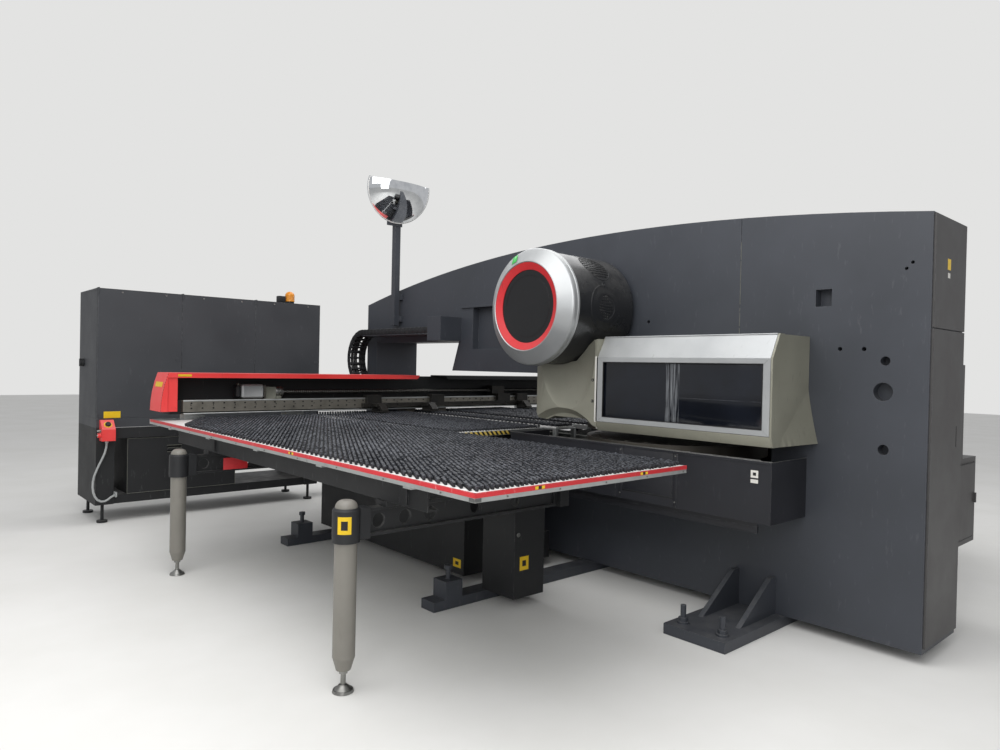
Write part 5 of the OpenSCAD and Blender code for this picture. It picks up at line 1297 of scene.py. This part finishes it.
labelKinds = {  # vinyl, share of the half size and thickness of each layer
    "yellow": [("yellowVinyl", 1.0, 0.0003), ("yellowVinyl", 0.86, 0.0006)],
    "pale": [("blackVinyl", 1.0, 0.0003), ("paleGasket", 0.86, 0.0006)],
    "white": [("blackVinyl", 1.0, 0.0003), ("paleGasket", 0.86, 0.0006), ("blackVinyl", 0.36, 0.0009)],
    "framed": [("blackVinyl", 1.0, 0.0003), ("yellowVinyl", 0.86, 0.0006), ("blackVinyl", 0.36, 0.0009)],
}


def buildLabel(centre, half, facing, thick):
    x, y, z = centre
    w, h = half
    if facing == "x":
        return block("label", (x - thick, y - w, z - h), (x + 0.0004, y + w, z + h), 0.0001, 1)
    return block("label", (x - w, y - thick, z - h), (x + w, y + 0.0004, z + h), 0.0001, 1)


def labelParts(labels):
    # sorted by body and vinyl, so that each colour of a body is one piece
    parts = {}
    for centre, (w, h), facing, body, kind in labels:
        x, y, z = centre
        if kind == "split":
            for step, vinyl in ((-0.6, "yellowVinyl"), (0.0, "blackVinyl"), (0.6, "yellowVinyl")):
                at = (x, y + step * w, z) if facing == "x" else (x + step * w, y, z)
                field = buildLabel(at, (w / 3 * 0.98, h * 0.98), facing, 0.0004)
                parts.setdefault((body, vinyl), []).append(field)
            continue
        for vinyl, share, thick in labelKinds[kind]:
            parts.setdefault((body, vinyl), []).append(buildLabel(centre, (w * share, h * share), facing, thick))
    return parts


def sector(name, place, radius, start, end, low, high, thick):
    # a patch wrapped part of the way round a post, degrees from +X
    piece = drawPath([(radius, 0, low), (radius + thick, 0, low), (radius + thick, 0, high), (radius, 0, high)])
    bpy.ops.mesh.edge_face_add()
    bpy.ops.transform.rotate(value=-math.radians(start), orient_axis="Z", center_override=(0, 0, 0))
    bpy.ops.mesh.spin(steps=12, angle=-math.radians(end - start), center=(0, 0, 0), axis=(0, 0, 1))
    leaveOutwards()
    piece.location = place
    return settle(piece, name)


for (body, vinyl), pieces in labelParts(labels).items():
    place(joined(f"{vinyl}_{body}", pieces), vinyl, "red_paint", body)

post = (-2.69, -0.64, 0)
place(sector("collarLabels", post, 0.0641, 205, 262, 0.733, 0.812, 0.0004), "yellowVinyl", "red_paint")
place(sector("collarMark", post, 0.0645, 220, 247, 0.752, 0.793, 0.0004), "blackVinyl", "black_plastic")
capField = {"half": (0.0006, 0.085, 0.02), "lean": 14, "at": (-2.5912, 2.5, 1.307)}
capLabel = block("capLabel", [-v for v in capField["half"]], capField["half"], 0.0001, 1)
capLabel.rotation_euler, capLabel.location = (0, math.radians(capField["lean"]), 0), capField["at"]
place(settle(capLabel, "capLabel"), "yellowVinyl", "red_paint", "y_carriage")
smallParts = {
    "armPlate": {"coat": ("redCoat", "red_paint"),
                 "boxes": [(-2.39, 1.652, 0.712, -2.211, 1.6556, 0.798, 0.0012)]},
    # black and yellow edge strip of the fixed table
    "hazardStrip": {"coat": ("hazardTape", "table_metal"),
                    "boxes": [(-1.197, 0.4985, 0.988, -0.633, 0.5003, 1.018, 0.0004)]},
    "postPlug": {"coat": ("groundSteel", "machined_steel"), "at": [(-1.3, -0.32, 0.46)],
                 "spin": ((0, 1, 0), 24), "outline": [(0.0, -0.006), (0.012, -0.006), (0.014, -0.003), (0.014, 0.0)]},
    # pale filler shows through the paint along the frame's upright seam, broken where the coat still holds
    "seamFiller": {"coat": ("castBracket", "frame_paint"), "corner": (0.0004, 1),
                   "boxes": [(-0.2577, -1.1897, z0, -0.2537, -1.1869, z1)
                             for z0, z1 in ((1.742, 1.776), (1.79, 1.872), (1.884, 1.902), (1.925, 2.06),
                                            (2.066, 2.196), (2.204, 2.312))]},
}
makeAll(smallParts)
print("labels made")

# rolled thread of the carriage's ball screw
thread = {"from": -1.54, "to": 2.14, "lead": 0.02, "core": 0.0162, "ring": 0.016, "wire": 0.0042, "y": 2.53,
          "z": 1.24}


def buildScrew(look):
    start, length, y, z = look["from"], look["to"] - look["from"], look["y"], look["z"]
    turns = length / look["lead"]
    line = []
    for s in np.linspace(0, 1, int(turns * 14)):
        angle = 2 * math.pi * turns * s
        line.append((start + length * s, y + look["ring"] * math.sin(angle), z + look["ring"] * math.cos(angle)))
    core = rod("ballScrew", (start - 0.01, y, z), (look["to"] + 0.06, y, z), look["core"], 24)
    return joined("ballScrew", [core, tube("screwThread", line, look["wire"], 1)])


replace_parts(place(buildScrew(thread), "darkScrewSteel", "machined_steel", "x_screw_body", 50), "x_screw")
print("screw made")

# backs and far sides: lift-off panels, louvres, grips and screws, plain as on such machines
back = {"y": 4.37955, "proud": 0.0005, "left": -2.775, "third": 0.72833, "gap": 0.018, "low": 0.9, "high": 2.11,
        "line": 0.003, "vents": (1.8, 2.0, 0.022), "ventInset": 0.14}
sideGrille = {"at": (-0.585, 4.03), "rows": (1.662, 1.95, 0.022), "lean": -35, "half": (0.0012, 0.156, 0.009),
              "rim": [(-0.59, 3.86, z, -0.584, 4.2, z + 0.012, 0.001) for z in (1.64, 1.96)]
              + [(-0.59, y, 1.64, -0.584, y + 0.012, 1.972, 0.001) for y in (3.86, 4.188)]}
farGuard = {"x": 0.6838, "grips": (-1.3, -0.12), "gripHalf": 0.075, "gripOut": 0.03, "gripZ": 1.24,
            "gripRadius": 0.006}
farGuardSeams = {
    "coat": ("blackRubber", "black_plastic"), "corner": (0.0002, 1),
    "boxes": [(0.6838, y, 1.17, 0.6846, y + 0.003, 1.572) for y in (-1.01, -0.42)]
    + [(0.6838, -1.6, 1.17, 0.6846, 0.14, 1.173)],
}


def backRows(look):
    rows, y0, y1, line = [], look["y"], look["y"] + look["proud"], look["line"]
    for i in range(3):
        x0, x1 = look["left"] + i * look["third"] + look["gap"], look["left"] + (i + 1) * look["third"] - look["gap"]
        rows += [(x0, y0, z, x1, y1, z + line) for z in (look["low"], look["high"])]
        rows += [(x, y0, look["low"], x + line, y1, look["high"]) for x in (x0, x1 - line)]
        vent0, vent1 = x0 + look["ventInset"], x1 - look["ventInset"]
        rows += [(vent0, y0, z, vent1, y1, z + 2 * line) for z in np.arange(*look["vents"])]
    return rows


def buildSideGrille(look):
    parts = boxes("sideGrille", look["rim"])
    for z in np.arange(*look["rows"]):
        slat = block("sideGrille", [-v for v in look["half"]], look["half"], 0.0006, 1)
        slat.rotation_euler, slat.location = (0, math.radians(look["lean"]), 0), (*look["at"], z)
        parts.append(settle(slat, "sideGrille"))
    return joined("sideGrille", parts)


def buildGrips(look):
    grips = []
    for y in look["grips"]:
        line = []
        for t in np.linspace(0, 1, 21):
            out = look["gripOut"] * math.sin(math.pi * t) ** 0.5
            line.append((look["x"] + out, y + look["gripHalf"] * (2 * t - 1), look["gripZ"]))
        grips.append(tube("farGuardGrips", line, look["gripRadius"], 2))
    return joined("farGuardGrips", grips)


make("backSeams", {"coat": ("blackRubber", "black_plastic"), "corner": (0.0001, 1), "boxes": backRows(back)})
place(buildSideGrille(sideGrille), "blackMoulding", "black_plastic")
make("farGuardSeams", farGuardSeams)
place(buildGrips(farGuard), "blackMoulding", "black_plastic", angle=60)
farPlaces = [(0.684, y, z) for y in np.arange(-1.56, 0.12, 0.27) for z in (1.19, 1.555)]
screws("farGuardScrews", farPlaces, (1, 0, 0))
print("far sides made")
